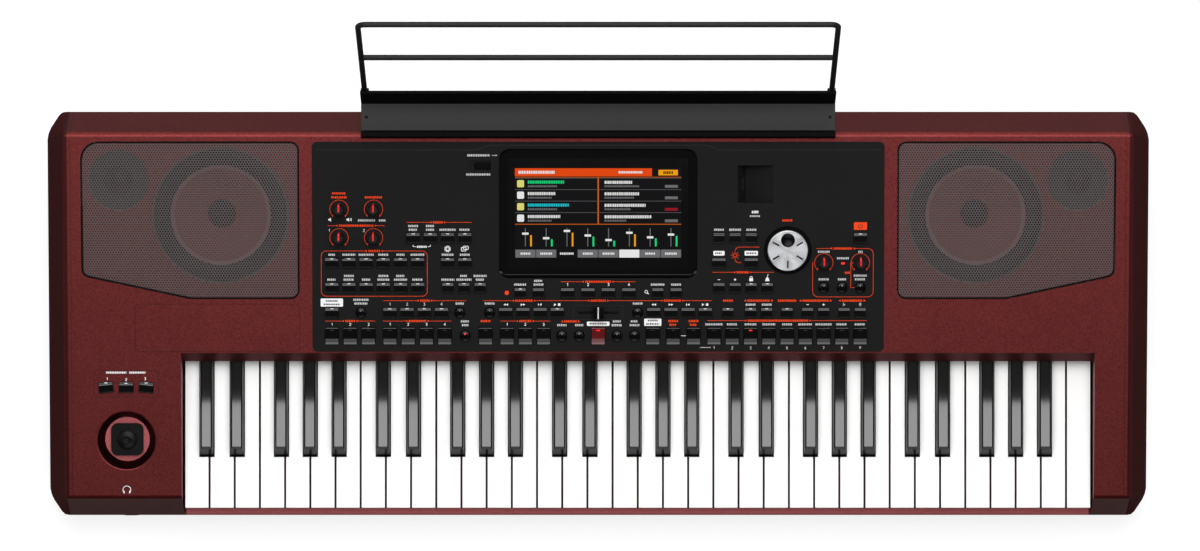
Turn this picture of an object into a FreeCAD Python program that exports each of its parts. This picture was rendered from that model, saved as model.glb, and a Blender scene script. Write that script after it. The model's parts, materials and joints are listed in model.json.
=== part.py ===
import FreeCAD, Part
import math
import os
from itertools import accumulate

# Arranger keyboard: 61 keys on one pivot rod, a sloping control panel with a tilting display,
# two loudspeakers behind grilles and a lift-off music stand.
# Sizes are in millimetres. X runs to the right, Y to the back and Z up from the table.
# While the pieces are made, Y starts at the front edge of the control panel.

Vector = FreeCAD.Vector

# Keys
KEY_PITCH = 23.57           # one white key and its gap
KEY_GAP = 1.0               # between neighbouring white keys
KEY_TOP = 80.0              # playing surface above the table
WHITE_COUNT = 36            # five octaves and the closing C
WHITE_LENGTH = 145.3        # from the panel wall to the key front
WHITE_SKIRT = 22.0          # height of the white key's front
KEY_BODY = 14.0             # depth of a key's hollow body
KEY_SKIN = 2.2              # moulded wall of a white key
BLACK_LENGTH = 88.8         # from the panel wall to the front of a black key's top
BLACK_RISE = 12.0           # black key above the white keys
BLACK_RAKE = 7.0            # run of a black key's sloping front
BLACK_BASE_W = 13.3
BLACK_TOP_W = 8.2
BLACK_EASE = 1.2            # eased long edges of a black key's top
BLACK_CLEARANCE = 0.5       # each side of a black key in its slot
BLACK_NOTCH = 2.0           # white key cut-out ahead of a black key's foot
INNER_SHIFT = 2.4           # how far C sharp and D sharp stand apart from their seams
OUTER_SHIFT = 3.4           # the same for F sharp and A sharp
KEY_DIP = 10.0              # travel at the front of a white key
KEY_TAIL = 13.0             # key body behind the panel wall's top edge
PIVOT_BACK = 50.2           # pivot rod behind the panel wall's top edge
PIVOT_DROP = 13.0           # pivot rod below the playing surface
PIVOT_R = 2.5
PIVOT_CLEARANCE = 0.1
ARM_W = 10.5                # lever between a key's body and the pivot
ARM_H = 13.0
STOP_GAP = 5.0              # between a pressed key and the keybed
KEYBED_T = 2.5
LUG_W = 2.0
CONTACT_GAP = 1.5           # between a pressed key and its contact strip
BOARD_T = 1.6

# Case
WALL = 3.0
PANEL_SLOPE = 5.3           # degrees
PANEL_RISE = 28.2           # panel's front edge above the white keys
PANEL_LIP = 1.4             # strip of case between the panel and the key bay
WALL_RUN = 7.8              # forward lean of the wall above the keys
KEY_WALL_GAP = 3.0          # between black keys and that wall
BAY_CLEARANCE = 1.2         # at each end of the keys
RIGHT_BLOCK = 33.5
RAIL_GAP = 1.1              # between the key fronts and the front rail
RAIL_DEPTH = 6.6
RAIL_RISE = 3.8             # rail above the seam of the two shells
PARTING_DROP = 42.7         # seam of the two shells, below the top plane
FRONT_LEAN = 22.0           # run of the sloping front of the end blocks
REAR_LEAN = 16.8            # run of the sloping back
REAR_MARGIN = 8.2           # case behind the panel
BEVEL_H = 18.0              # bevel round the underside
BEVEL_IN = 10.0
FOOT_H = 6.0
FOOT_R = 10.0
FOOT_EDGE = 1.0
CHEEK_W = 19.0              # end cheek at its widest
CHEEK_TOP = 1.5             # end cheek on the top plane
CORNER_V = 26.0             # cut corner of a cheek, measured front to back
TOP_CORNER = 0.08           # share of that cut left at the top edge
CORNER_SWEEP = ((0, 1), (0.07, 0.77), (0.2, 0.57), (0.62, 0.14), (0.8, 0.03), (1, 0))   # its rounded course
EDGE_R = 5.5                # rounding of the top front and back edges
CHEEK_R = 5.0               # rounding of a cheek's outer edges

# Control panel: rows from the front edge, columns from the middle
PANEL_LIFT = 1.2            # panel flange above the case
PANEL_PLUG = 3.0            # panel body below the flange
PANEL_LEDGE = 6.0           # width of the flange that lies on the case
PANEL_FIT = 0.3             # round the panel body in its opening
PANEL_R = 5.0
PANEL_FRONT_MARGIN = 14.7
PANEL_SIDE_MARGIN = 18.05
PANEL_REAR_MARGIN = 7.3
BIG_ROW_PITCH = 21.8
SET_ROW_PITCH = 18.5
ROW_PITCH = 23.3
START_PITCH = 17.6          # start key to the round keys beside it
ROUND_PITCH = 16.2
BIG_PITCH = 17.0
SMALL_PITCH = 16.0
NARROW_PITCH = 15.0
SET_PITCH = 19.0
SPREAD_PITCH = 27.0
GROUP_GAP = 2.0             # extra space between groups of keys
WIDE_GAP = 3.0
NARROW_GAP = 4.0
SPLIT_GAP = 6.0
OCTAVE_GAP = 21.1           # last player key to the octave keys
PLAYER_GAP = 27.8           # round key of the pads to that of the first player
STYLE_GAP = 27.8            # last style key to the mode keys
PLAYER_ONE = 38.0           # first key of each player from the middle
PLAYER_TWO = 51.7
MODE_OFFSET = 32.6          # columns beside the display
MEMORY_OFFSET = 18.4
MENU_OFFSET = 20.9
DIAL_OFFSET = 63.9          # dial from the first menu column
KNOB_INSET = 7.0            # first knob from the outer column
KNOB_PITCH = 32.0
KNOB_ROW_PITCH = 26.6

# Buttons
SMALL_W = 12.5
NARROW_W = 10.5
SMALL_D = 9.3
SMALL_RISE = 2.4            # cap above the panel
BIG_W = 12.3
BIG_D = 16.0
BIG_RISE = 3.2
ROUND_R = 4.8
ROUND_RISE = 2.2
SWITCH_W = 13.0
SWITCH_D = 9.9
SWITCH_PITCH = 18.7
SWITCH_TURN = 6.0           # outer switches turn inwards, degrees
SWITCH_BACK = 49.8          # switches behind the joystick
CAP_EDGE = 0.6
BUTTON_CLEARANCE = 0.4
BUTTON_FLANGE = 1.0         # width and thickness of the flange under the panel
STEM_W = 4.0
STEM_END = 12.4             # foot of a stem below the top plane
BOARD_DROP = 14.0           # switch board below the top plane
BOSS_R = 2.2

# Knobs, dial and sliders
SHAFT_R = 3.0
SHAFT_CLEARANCE = 0.1
KNOB_R = 6.2
KNOB_TOP_R = 4.6
KNOB_H = 15.0
KNOB_RIBS = 16
KNOB_GROOVE = 0.07          # share of the radius
DIAL_R = 18.6
DIAL_H = 6.5
DIAL_SURROUND = 3.4         # width of the sunk ring round the dial
DIAL_DIMPLE_R = 6.3
DIAL_DIMPLE = 1.7           # depth of the finger dimple
DIAL_DIMPLE_OFFSET = 9.8
PANEL_SINK = 0.6            # depth of shallow recesses in the panel
FADER_W = 45.6
FADER_D = 13.0
FADER_SLOT = 37.0
FADER_CAP_W = 10.7
FADER_CAP_D = 12.0
FADER_CAP_H = 8.0
SLOT_W = 2.4
TONGUE_T = 1.6              # slider tongue in its slot
TONGUE_L = 6.0
LOCK_W = 20.5
LOCK_D = 8.6
LOCK_SINK = 1.2
LOCK_CAP_W = 14.5
LOCK_TRAVEL = 5.0
LOCK_OFFSET = 18.35         # lock slider from the display's edge
LOCK_REAR = 22.3            # lock slider from the panel's rear edge

# Display
DISPLAY_W = 182.8
DISPLAY_D = 119.2
DISPLAY_ROW_GAP = 14.3      # display in front of which the set row lies
DISPLAY_R = 12.0
DISPLAY_T = 9.0
DISPLAY_PROUD = 3.0         # display face above the top plane
DISPLAY_CLEARANCE = 0.6
DISPLAY_CORNER_EASE = 3.0   # the opening's corners are tighter by this, for the tilting corners
TUB_GAP = 1.0               # under the display
TUB_WALL = 2.0
HINGE_PIN_R = 2.0
HINGE_PIN_GRIP = 10.0
SCREEN_MARGIN = 8.0
SCREEN_T = 1.5
NOTCH_W = 7.4
NOTCH_D = 2.0
NOTCH_PITCH = 15.1
NOTCH_FIRST = 42.2          # innermost notch from the middle

# Pocket for a memory stick
POCKET_OFFSET = 38.1        # from the display's edge
POCKET_W = 32.7
POCKET_D = 34.8
POCKET_REAR = 21.9          # from the panel's rear edge
POCKET_DEEP = 13.0
POCKET_SHALLOW = 1.5
POCKET_RUN = 7.6            # lean of the pocket's left wall
PORT_W = 13.1
PORT_H = 5.7

# Loudspeakers
GRILLE_GAP = 12.2           # between panel and grille
GRILLE_MARGIN = 15.0        # between grille and end cheek
GRILLE_T = 1.2
GRILLE_SINK = 0.3
GRILLE_RECESS = 4.0
GRILLE_FIT = 0.3
GRILLE_R = 8.0
GRILLE_OUTER_R = 17.0
GRILLE_CUT_U = 0.6          # slanting front corner of the grille
GRILLE_CUT_V = 21.5
WOOFER_R = 63.7
WOOFER_SIDE = 9.3           # baffle beside the woofer
WOOFER_FRONT = 14.3
WOOFER_REAR = 4.9
WOOFER_DEPTH = 56.0
MAGNET_R = 36.0
CONE_R = 46.5
CONE_DEPTH = 16.0
CONE_SKIN = 2.0
DUST_CAP_R = 13.0
TWEETER_R = 28.4
TWEETER_SIDE = 6.6
TWEETER_BODY_R = 21.0
TWEETER_DOME_R = 12.0
TWEETER_RAISE = 32.6        # tweeter behind the woofer's centre
TWEETER_DEPTH = 18.0
SPEAKER_FLANGE = 3.0
SPEAKER_GAP = 2.3
FLANGE_T = 4.0

# Joystick
DISH_R = 27.2
DISH_FLOOR_R = 20.75
DISH_DEPTH = 12.0
DISH_INNER = 24.2           # case between dish and key bay
DISH_OUTER = 29.0           # case between dish and end cheek
DISH_BACK = 63.6            # dish centre behind the key fronts
BALL_R = 16.0
BALL_DROP = 9.0             # pivot below the dish floor
BALL_SKIN = 2.5
BALL_CLEARANCE = 0.4
CAP_ANGLE = 56.0            # half angle of the stick's dome, degrees
STICK_R = 3.4
STICK_TIP_R = 3.0
STICK_LENGTH = 14.0         # above the dome
BOOT_W = 30.0
BOOT_R = 6.0
BOOT_H = 4.5
GIMBAL_HALF = 9.0
GIMBAL_BAR = 3.0
GIMBAL_T = 5.0
GIMBAL_PIN_R = 2.0
GIMBAL_LUG = 4.0

# Music stand
STAND_GAP = 0.6             # between tray and case
STAND_HALF = 220.0
LIP_RUN = 7.4
LIP_H = 7.0
LIP_AHEAD = 5.2             # lip ahead of the case's rear top edge
LEDGE_RUN = 24.8
LEDGE_T = 3.0
STAND_LEAN = 18.0           # degrees from upright
BACK_H = 28.0
ROD_R = 2.6
ROD_BEND = 7.0
ROD_WALL = 1.2              # clip round a rod
FRAME_H = 193.3             # along the lean, from the ledge to the top bar
MID_BAR = 106.6
CLIP_H = 14.0
CLIP_FLOOR = 2.0
PEG_X = 150.0
PEG_W = 24.0
PEG_T = 5.0
PEG_DEPTH = 23.5
PEG_CLEARANCE = 0.4
PEG_END = 1.5

# Sockets, boards and screws
JACK_R = 3.25
JACK_BODY_R = 5.0
JACK_FLANGE_R = 6.5
JACK_FLANGE_T = 0.8
JACK_LENGTH = 22.0
JACK_PITCH = 25.0
JACK_FIRST = 200.0
JACK_COUNT = 4
JACK_RAISE = 26.0           # sockets above the bevel
PHONES_RAISE = 11.0
DIN_R = 8.6
DIN_RECESS_R = 7.4
DIN_X = 100.0
DIN_PITCH = 30.0
USB_X = 60.0
USB_W = 14.0
USB_H = 12.0
INLET_X = -380.0
INLET_W = 30.0
INLET_H = 22.0
SOCKET_RIM = 3.0
SOCKET_RECESS = 9.0
MAIN_BOARD_W = 220.0
MAIN_BOARD_D = 110.0
MAIN_BOARD_X = 50.0
STANDOFF_H = 8.0
STANDOFF_R = 4.0
SCREW_R = 1.5
SCREW_HEAD_R = 3.6
SCREW_HEAD_T = 2.5
SCREW_DEPTH = 6.0
SCREW_LENGTH = 16.0
SCREW_BOSS_R = 6.0
SCREW_BOSS_H = 22.0

FAR = 2000.0                # longer than anything here
TOUCH = 0.01                # nearer than this counts as touching

# Places worked out from the sizes above
SIN = math.sin(math.radians(PANEL_SLOPE))
COS = math.cos(math.radians(PANEL_SLOPE))
panel_z = KEY_TOP + PANEL_RISE
PANEL_FRAME = FreeCAD.Placement(Vector(0, 0, panel_z), FreeCAD.Rotation(Vector(1, 0, 0), PANEL_SLOPE))

row_a = PANEL_FRONT_MARGIN
row_b = row_a + BIG_ROW_PITCH
row_set = row_b + SET_ROW_PITCH
row_c = row_b + ROW_PITCH
row_d = row_c + ROW_PITCH
row_e = row_d + ROW_PITCH
row_knob = row_e + KNOB_ROW_PITCH
display_front = row_set + DISPLAY_ROW_GAP
display_rear = display_front + DISPLAY_D
display_half = DISPLAY_W / 2
panel_depth = display_rear + PANEL_REAR_MARGIN
rear_ledge = PANEL_REAR_MARGIN - DISPLAY_CLEARANCE - TUB_WALL - PANEL_FIT
top_rear = panel_depth + REAR_MARGIN

left_steps = [START_PITCH, ROUND_PITCH] + [BIG_PITCH] * 3 + [BIG_PITCH + WIDE_GAP]
left_steps += [BIG_PITCH + GROUP_GAP] * 2 + [BIG_PITCH] * 3 + [BIG_PITCH + WIDE_GAP] + [BIG_PITCH] * 2
right_steps = [START_PITCH, ROUND_PITCH, BIG_PITCH] + [BIG_PITCH + GROUP_GAP] * 3 + [BIG_PITCH] * 8
left_columns = [-step for step in accumulate(left_steps)]
right_columns = list(accumulate(right_steps))
outer_left = left_columns[-1]
outer_right = right_columns[-1]
panel_half = PANEL_SIDE_MARGIN - outer_left
menu_first = display_half + MENU_OFFSET
dial_place = (menu_first + DIAL_OFFSET, (row_d + row_e) / 2)

woofer_edge = WOOFER_R + SPEAKER_FLANGE
tweeter_edge = TWEETER_R + SPEAKER_FLANGE
speaker_reach = woofer_edge + tweeter_edge + SPEAKER_GAP
speaker_step = math.sqrt(speaker_reach ** 2 - TWEETER_RAISE ** 2)
grille_inner = panel_half + GRILLE_GAP
woofer_u = grille_inner + WOOFER_SIDE + WOOFER_R
tweeter_u = woofer_u + speaker_step
grille_outer = tweeter_u + TWEETER_R + TWEETER_SIDE
grille_rear = panel_depth
woofer_v = grille_rear - WOOFER_REAR - WOOFER_R
tweeter_v = woofer_v + TWEETER_RAISE
grille_front = woofer_v - WOOFER_R - WOOFER_FRONT
baffle_under = -(GRILLE_RECESS + WALL)

# The case is as wide as the longer of its two rows: the keys between their end blocks,
# or the panel between its loudspeakers.
bay_width = WHITE_COUNT * KEY_PITCH + 2 * BAY_CLEARANCE
key_row = DISH_OUTER + 2 * DISH_R + DISH_INNER + bay_width + RIGHT_BLOCK
panel_row = 2 * (grille_outer + GRILLE_MARGIN)
seam_x = max(key_row, panel_row) / 2
bay_right = seam_x - RIGHT_BLOCK
bay_left = bay_right - bay_width
first_key = bay_left + BAY_CLEARANCE
case_half = seam_x + CHEEK_W

key_front = -PANEL_LIP - WHITE_LENGTH
rail_back = key_front - RAIL_GAP
front_y = rail_back - RAIL_DEPTH
front_seam = (front_y - PARTING_DROP * SIN) / COS
top_front = front_seam + FRONT_LEAN
rear_seam = top_rear + REAR_LEAN
rear_y = rear_seam * COS + PARTING_DROP * SIN
floor_z = FOOT_H + WALL
bevel_z = FOOT_H + BEVEL_H

pivot_y = PIVOT_BACK - PANEL_LIP
pivot_z = KEY_TOP - PIVOT_DROP
black_foot = -PANEL_LIP - BLACK_LENGTH - BLACK_RAKE
tail_end = KEY_TAIL - PANEL_LIP
wall_foot = KEY_TOP + BLACK_RISE + KEY_WALL_GAP
keybed_top = KEY_TOP - WHITE_SKIRT - KEY_DIP - STOP_GAP

dish_u = bay_left - DISH_INNER - DISH_R
dish_v = (key_front + DISH_BACK) / COS
ball_w = -DISH_DEPTH - BALL_DROP

hinge_v = display_front + DISPLAY_T / 2
hinge_w = DISPLAY_PROUD - DISPLAY_T / 2
button_root = -PANEL_PLUG - BUTTON_CLEARANCE
stand_rod_x = STAND_HALF - ROD_R - ROD_WALL


# Helpers

def on_panel(u, v, w):
    """Point u along, v up and w above the sloping top plane."""
    return Vector(u, v * COS - w * SIN, panel_z + v * SIN + w * COS)


def lay(shape):
    """Set a shape that was made flat on the sloping top plane."""
    laid = shape.copy()
    laid.Placement = PANEL_FRAME.multiply(laid.Placement)
    return laid


def box(x0, x1, y0, y1, z0, z1):
    return Part.makeBox(x1 - x0, y1 - y0, z1 - z0, Vector(x0, y0, z0))


def block(x, y, width, depth, z0, z1):
    """Box about a centre."""
    return box(x - width / 2, x + width / 2, y - depth / 2, y + depth / 2, z0, z1)


def rod(x, y, radius, z0, z1):
    """Upright cylinder."""
    return Part.makeCylinder(radius, z1 - z0, Vector(x, y, z0))


def rod_x(x0, x1, y, z, radius):
    return Part.makeCylinder(radius, x1 - x0, Vector(x0, y, z), Vector(1, 0, 0))


def rod_y(x, y0, y1, z, radius):
    return Part.makeCylinder(radius, y1 - y0, Vector(x, y0, z), Vector(0, 1, 0))


def face(points):
    return Part.Face(Part.makePolygon(points + points[:1]))


def prism_x(profile, x0, x1):
    """Profile of (y, z) points drawn out along X."""
    return face([Vector(x0, y, z) for y, z in profile]).extrude(Vector(x1 - x0, 0, 0))


def prism_y(profile, y0, y1):
    """Profile of (x, z) points drawn out along Y."""
    return face([Vector(x, y0, z) for x, z in profile]).extrude(Vector(0, y1 - y0, 0))


def turned(profile, x, y):
    """Profile of (radius, z) points turned round an upright axis."""
    outline = face([Vector(x + r, y, z) for r, z in profile])
    return outline.revolve(Vector(x, y, 0), Vector(0, 0, 1), 360)


def upright_edges(shape):
    return [edge for edge in shape.Edges if abs(edge.tangentAt(edge.FirstParameter).z) > 0.99]


def rounded_block(x, y, width, depth, z0, z1, radius):
    shape = block(x, y, width, depth, z0, z1)
    return shape.makeFillet(radius, upright_edges(shape))


def edges_at(shape, point, upright=False):
    """Edges that pass through a point, or only the upright ones."""
    mark = Part.Vertex(point)
    edges = upright_edges(shape) if upright else shape.Edges
    return [edge for edge in edges if edge.distToShape(mark)[0] < TOUCH]


def stack(rings):
    """Closed solid through a pile of matching outlines."""
    faces = [face(rings[0]), face(rings[-1])]
    for low, high in zip(rings, rings[1:]):
        for i in range(len(low)):
            faces.append(face([low[i - 1], low[i], high[i], high[i - 1]]))
    return Part.Solid(Part.Shell(faces))


def mirrored(shape):
    return shape.mirror(Vector(0, 0, 0), Vector(1, 0, 0))


def run(first, pitch, count):
    """Centres of a row of equal steps."""
    return [first + pitch * k for k in range(count)]


def group(shapes):
    return Part.makeCompound(shapes)


# Case

def cut_corners(half, front, rear, corner_x, corner_y):
    """Plan outline of a rectangle whose four corners are cut in a rounded course."""
    course = [(half - a * corner_x, b * corner_y) for a, b in CORNER_SWEEP]
    right = [(x, front + y) for x, y in reversed(course)] + [(x, rear - y) for x, y in course]
    return right + [(-x, y) for x, y in reversed(right)]


def case_hull(inset):
    """Outer form of the whole case, or the space inside it when inset by the wall."""
    half = case_half - inset
    corner_x = CHEEK_W - CHEEK_TOP
    seam = cut_corners(half, front_seam + inset, rear_seam - inset, corner_x, CORNER_V)
    seam_ring = [on_panel(u, v, -PARTING_DROP) for u, v in seam]
    low_ring = [Vector(point.x, point.y, bevel_z) for point in seam_ring]
    sides = [point.y for point in seam_ring]
    floor = cut_corners(half - BEVEL_IN, min(sides) + BEVEL_IN, max(sides) - BEVEL_IN,
                        corner_x, CORNER_V * COS)
    floor_ring = [Vector(x, y, FOOT_H + inset) for x, y in floor]
    top = cut_corners(seam_x + CHEEK_TOP - inset, top_front + inset, top_rear - inset,
                      TOP_CORNER * corner_x, TOP_CORNER * CORNER_V)
    top_ring = [on_panel(u, v, -inset) for u, v in top]
    return stack([floor_ring, low_ring, seam_ring, top_ring])


def grille_outline(grow, w0, w1):
    """Plan of the left grille, grown all round and drawn out between two levels."""
    corners = [Vector(-grille_inner, grille_front, w0), Vector(-grille_inner, grille_rear, w0),
               Vector(-grille_outer, grille_rear, w0),
               Vector(GRILLE_CUT_U - grille_outer, grille_front + GRILLE_CUT_V, w0),
               Vector(-(grille_inner + grille_outer) / 2, grille_front, w0)]
    plate = face(corners).extrude(Vector(0, 0, w1 - w0))
    plate = plate.makeFillet(GRILLE_OUTER_R, edges_at(plate, corners[2], True))
    for corner in corners[:2] + corners[3:]:
        plate = plate.makeFillet(GRILLE_R, edges_at(plate, corner, True))
    if grow == 0:
        return plate
    under = min(plate.Faces, key=lambda side: side.CenterOfMass.z)
    outline = under.OuterWire.makeOffset2D(grow)
    return Part.Face(outline).extrude(Vector(0, 0, w1 - w0))


def both_sides(shape):
    return [shape, mirrored(shape)]


def switch_places():
    """Centre and turn of the three switches behind the joystick."""
    v = dish_v + SWITCH_BACK
    return [(dish_u + k * SWITCH_PITCH, v, -k * SWITCH_TURN) for k in (-1, 0, 1)]


def turned_about(shape, u, v, angle):
    shape.rotate(Vector(u, v, 0), Vector(0, 0, 1), angle)
    return shape


def peg_centre():
    """Middle of the sloping back, where the stand's pegs go in."""
    return on_panel(0, top_rear + REAR_LEAN / 2, -PARTING_DROP / 2)


def bay_profiles():
    """Side views of the key bay and of the part of the case that walls it in."""
    edge = on_panel(0, -PANEL_LIP, 0)
    foot_y = edge.y - WALL_RUN
    bay = [(rail_back, 0), (rail_back, FAR), (edge.y, FAR), (edge.y, edge.z), (foot_y, wall_foot),
           (pivot_y, wall_foot), (pivot_y, 0)]
    keep = [(-FAR, 0), (-FAR, FAR), (edge.y + WALL, FAR), (edge.y + WALL, edge.z),
            (foot_y + WALL, wall_foot), (foot_y + WALL, 0)]
    return bay, keep


def middle_of(hull):
    """The case between the end cheeks, with its long top edges rounded."""
    body = hull.common(box(-seam_x, seam_x, -FAR, FAR, 0, FAR))
    edges = edges_at(body, on_panel(0, top_rear, 0)) + edges_at(body, on_panel(0, top_front, 0))
    return body.makeFillet(EDGE_R, edges)


def above_seam():
    return lay(box(-FAR, FAR, -FAR, FAR, -PARTING_DROP, FAR))


def make_top_case(middle, hollow):
    bay, keep = bay_profiles()
    cavity = hollow.cut(prism_x(keep, bay_left - WALL, bay_right + WALL))
    shell = middle.common(above_seam()).cut(cavity)
    shell = shell.cut(prism_x(bay, bay_left, bay_right))
    shell = shell.cut(lay(box(bay_left, bay_right, -FAR, key_front, RAIL_RISE - PARTING_DROP, FAR)))

    pads = both_sides(grille_outline(WALL, baffle_under, -WALL / 2))
    dish = Part.makeCone(DISH_FLOOR_R + WALL, DISH_R + WALL, DISH_DEPTH + WALL,
                         Vector(dish_u, dish_v, -DISH_DEPTH - WALL))
    dish = dish.cut(box(-FAR, FAR, -FAR, FAR, -WALL / 2, FAR))
    lug_v = BALL_R + BALL_CLEARANCE + GIMBAL_LUG
    lug_size = (2 * GIMBAL_PIN_R + 2 * WALL, GIMBAL_LUG, ball_w - GIMBAL_PIN_R - WALL, -DISH_DEPTH)
    lugs = [block(dish_u, dish_v + side * (lug_v - GIMBAL_LUG / 2 + BALL_CLEARANCE), *lug_size)
            for side in (-1, 1)]
    shell = shell.fuse([lay(shape) for shape in pads + [dish] + lugs])

    peg = peg_centre()
    inside = case_hull(0)
    slot_w = PEG_W + 2 * PEG_CLEARANCE
    slot_t = PEG_T + 2 * PEG_CLEARANCE
    slot_foot = peg.z - PEG_DEPTH - PEG_END
    bosses = [block(x, peg.y, slot_w + 2 * WALL, slot_t + 2 * WALL, slot_foot - WALL, FAR).common(inside)
              for x in (-PEG_X, PEG_X)]
    shell = shell.fuse(bosses)
    slots = [block(x, peg.y, slot_w, slot_t, slot_foot, FAR) for x in (-PEG_X, PEG_X)]

    opening = panel_half - PANEL_LEDGE
    cuts = [box(-opening, opening, PANEL_LEDGE, panel_depth - rear_ledge, -2 * WALL, WALL)]
    cuts += both_sides(grille_outline(GRILLE_FIT, -GRILLE_RECESS, WALL))
    cuts += both_sides(rod(-woofer_u, woofer_v, WOOFER_R, 2 * baffle_under, 0))
    cuts += both_sides(rod(-tweeter_u, tweeter_v, TWEETER_R, 2 * baffle_under, 0))
    lean = (DISH_R - DISH_FLOOR_R) / DISH_DEPTH
    cuts.append(Part.makeCone(DISH_FLOOR_R, DISH_R + lean * WALL, DISH_DEPTH + WALL,
                              Vector(dish_u, dish_v, -DISH_DEPTH)))
    cuts.append(Part.makeSphere(BALL_R + BALL_CLEARANCE, Vector(dish_u, dish_v, ball_w)))
    cuts.append(rod_y(dish_u, dish_v - DISH_R, dish_v + DISH_R, ball_w, GIMBAL_PIN_R + PIVOT_CLEARANCE))
    for u, v, angle in switch_places():
        width = SWITCH_W + 2 * BUTTON_CLEARANCE
        depth = SWITCH_D + 2 * BUTTON_CLEARANCE
        hole = block(u, v, width, depth, -2 * WALL, WALL)
        cuts.append(turned_about(hole, u, v, angle))
    return shell.cut([lay(shape) for shape in cuts] + slots)


def jack_places():
    """Round sockets in the back wall, by their centres along X."""
    return run(JACK_FIRST, JACK_PITCH, JACK_COUNT)


def screw_places():
    rear = rear_y - BEVEL_IN - 2 * SCREW_BOSS_R - WALL
    front = front_y + BEVEL_IN + 3 * SCREW_BOSS_R + WALL
    xs = [-seam_x + 4 * SCREW_BOSS_R, -MAIN_BOARD_W, MAIN_BOARD_W, seam_x - 4 * SCREW_BOSS_R]
    return [(x, y) for x in xs for y in (front, rear)]


def foot_places():
    rear = rear_y - BEVEL_IN - 3 * FOOT_R
    front = front_y + BEVEL_IN + 3 * FOOT_R
    return [(x, y) for x in (-seam_x + 6 * FOOT_R, seam_x - 6 * FOOT_R) for y in (front, rear)]


def main_board_centre():
    return MAIN_BOARD_X, rear_y - BEVEL_IN - WALL - MAIN_BOARD_D / 2 - 3 * STANDOFF_R


def standoff_places():
    x, y = main_board_centre()
    reach_x = MAIN_BOARD_W / 2 - STANDOFF_R
    reach_y = MAIN_BOARD_D / 2 - STANDOFF_R
    return [(x + i * reach_x, y + j * reach_y) for i in (-1, 1) for j in (-1, 1)]


def make_bottom_case(middle, hollow):
    shell = middle.cut(above_seam()).cut(hollow)
    bosses = [rod(x, y, SCREW_BOSS_R, FOOT_H, FOOT_H + SCREW_BOSS_H) for x, y in screw_places()]
    bosses += [rod(x, y, STANDOFF_R, FOOT_H, floor_z + STANDOFF_H) for x, y in standoff_places()]
    shell = shell.fuse(bosses)
    socket_z = bevel_z + JACK_RAISE
    cuts = [rod_y(x, rear_y - 2 * WALL, rear_y + WALL, socket_z, JACK_BODY_R) for x in jack_places()]
    cuts += [rod_y(x, rear_y - 2 * WALL, rear_y + WALL, socket_z, DIN_R) for x in run(DIN_X, DIN_PITCH, 2)]
    for x, width, height in ((USB_X, USB_W, USB_H), (INLET_X, INLET_W, INLET_H)):
        cuts.append(block(x, rear_y, width, 4 * WALL, socket_z - height / 2, socket_z + height / 2))
    cuts.append(rod_y(dish_u, front_y - WALL, front_y + 2 * WALL, bevel_z + PHONES_RAISE, JACK_BODY_R))
    for x, y in screw_places():
        cuts.append(rod(x, y, SCREW_HEAD_R + BUTTON_CLEARANCE, 0, FOOT_H + SCREW_DEPTH))
        cuts.append(rod(x, y, SCREW_R, 0, FOOT_H + SCREW_BOSS_H))
    return shell.cut(cuts)


def make_cheek(hull, hollow):
    """Right end cheek; the left one is its mirror image."""
    body = hull.common(box(seam_x, FAR, -FAR, FAR, 0, FAR))
    edges = [edge for edge in body.Edges if min(vertex.X for vertex in edge.Vertexes) > case_half - TOUCH]
    edges = [edge for edge in edges if edge.Length > CORNER_V]
    return body.makeFillet(CHEEK_R, edges).cut(hollow)


def make_feet():
    profile = [(0, 0), (FOOT_R - FOOT_EDGE, 0), (FOOT_R, FOOT_EDGE), (FOOT_R, FOOT_H), (0, FOOT_H)]
    return group([turned(profile, x, y) for x, y in foot_places()])


def make_screws():
    seat = FOOT_H + SCREW_DEPTH
    head = seat - SCREW_HEAD_T
    profile = [(0, head), (SCREW_HEAD_R, head), (SCREW_HEAD_R, seat), (SCREW_R, seat),
               (SCREW_R, seat + SCREW_LENGTH), (0, seat + SCREW_LENGTH)]
    return group([turned(profile, x, y) for x, y in screw_places()])


# Sockets and boards inside

def jack(x, z, wall_y, side):
    """Round socket in a wall; side is 1 in the back wall and -1 in the front wall."""
    outer = wall_y + side * JACK_FLANGE_T
    inner = wall_y - side * JACK_LENGTH
    body = rod_y(x, min(wall_y, inner), max(wall_y, inner), z, JACK_BODY_R)
    flange = rod_y(x, min(wall_y, outer), max(wall_y, outer), z, JACK_FLANGE_R)
    bore_foot = inner + side * WALL
    bore = rod_y(x, min(outer, bore_foot), max(outer, bore_foot), z, JACK_R)
    return body.fuse(flange).removeSplitter().cut(bore)


def make_sockets():
    z = bevel_z + JACK_RAISE
    pieces = [jack(dish_u, bevel_z + PHONES_RAISE, front_y, -1)]
    pieces += [jack(x, z, rear_y, 1) for x in jack_places()]
    for x in run(DIN_X, DIN_PITCH, 2):
        body = rod_y(x, rear_y - JACK_LENGTH, rear_y, z, DIN_R)
        pieces.append(body.cut(rod_y(x, rear_y - SOCKET_RECESS, rear_y, z, DIN_RECESS_R)))
    for x, width, height in ((USB_X, USB_W, USB_H), (INLET_X, INLET_W, INLET_H)):
        body = box(x - width / 2, x + width / 2, rear_y - JACK_LENGTH, rear_y,
                   z - height / 2, z + height / 2)
        inner = box(x - width / 2 + SOCKET_RIM, x + width / 2 - SOCKET_RIM, rear_y - SOCKET_RECESS, rear_y,
                    z - height / 2 + SOCKET_RIM, z + height / 2 - SOCKET_RIM)
        pieces.append(body.cut(inner))
    return group(pieces)


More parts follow.
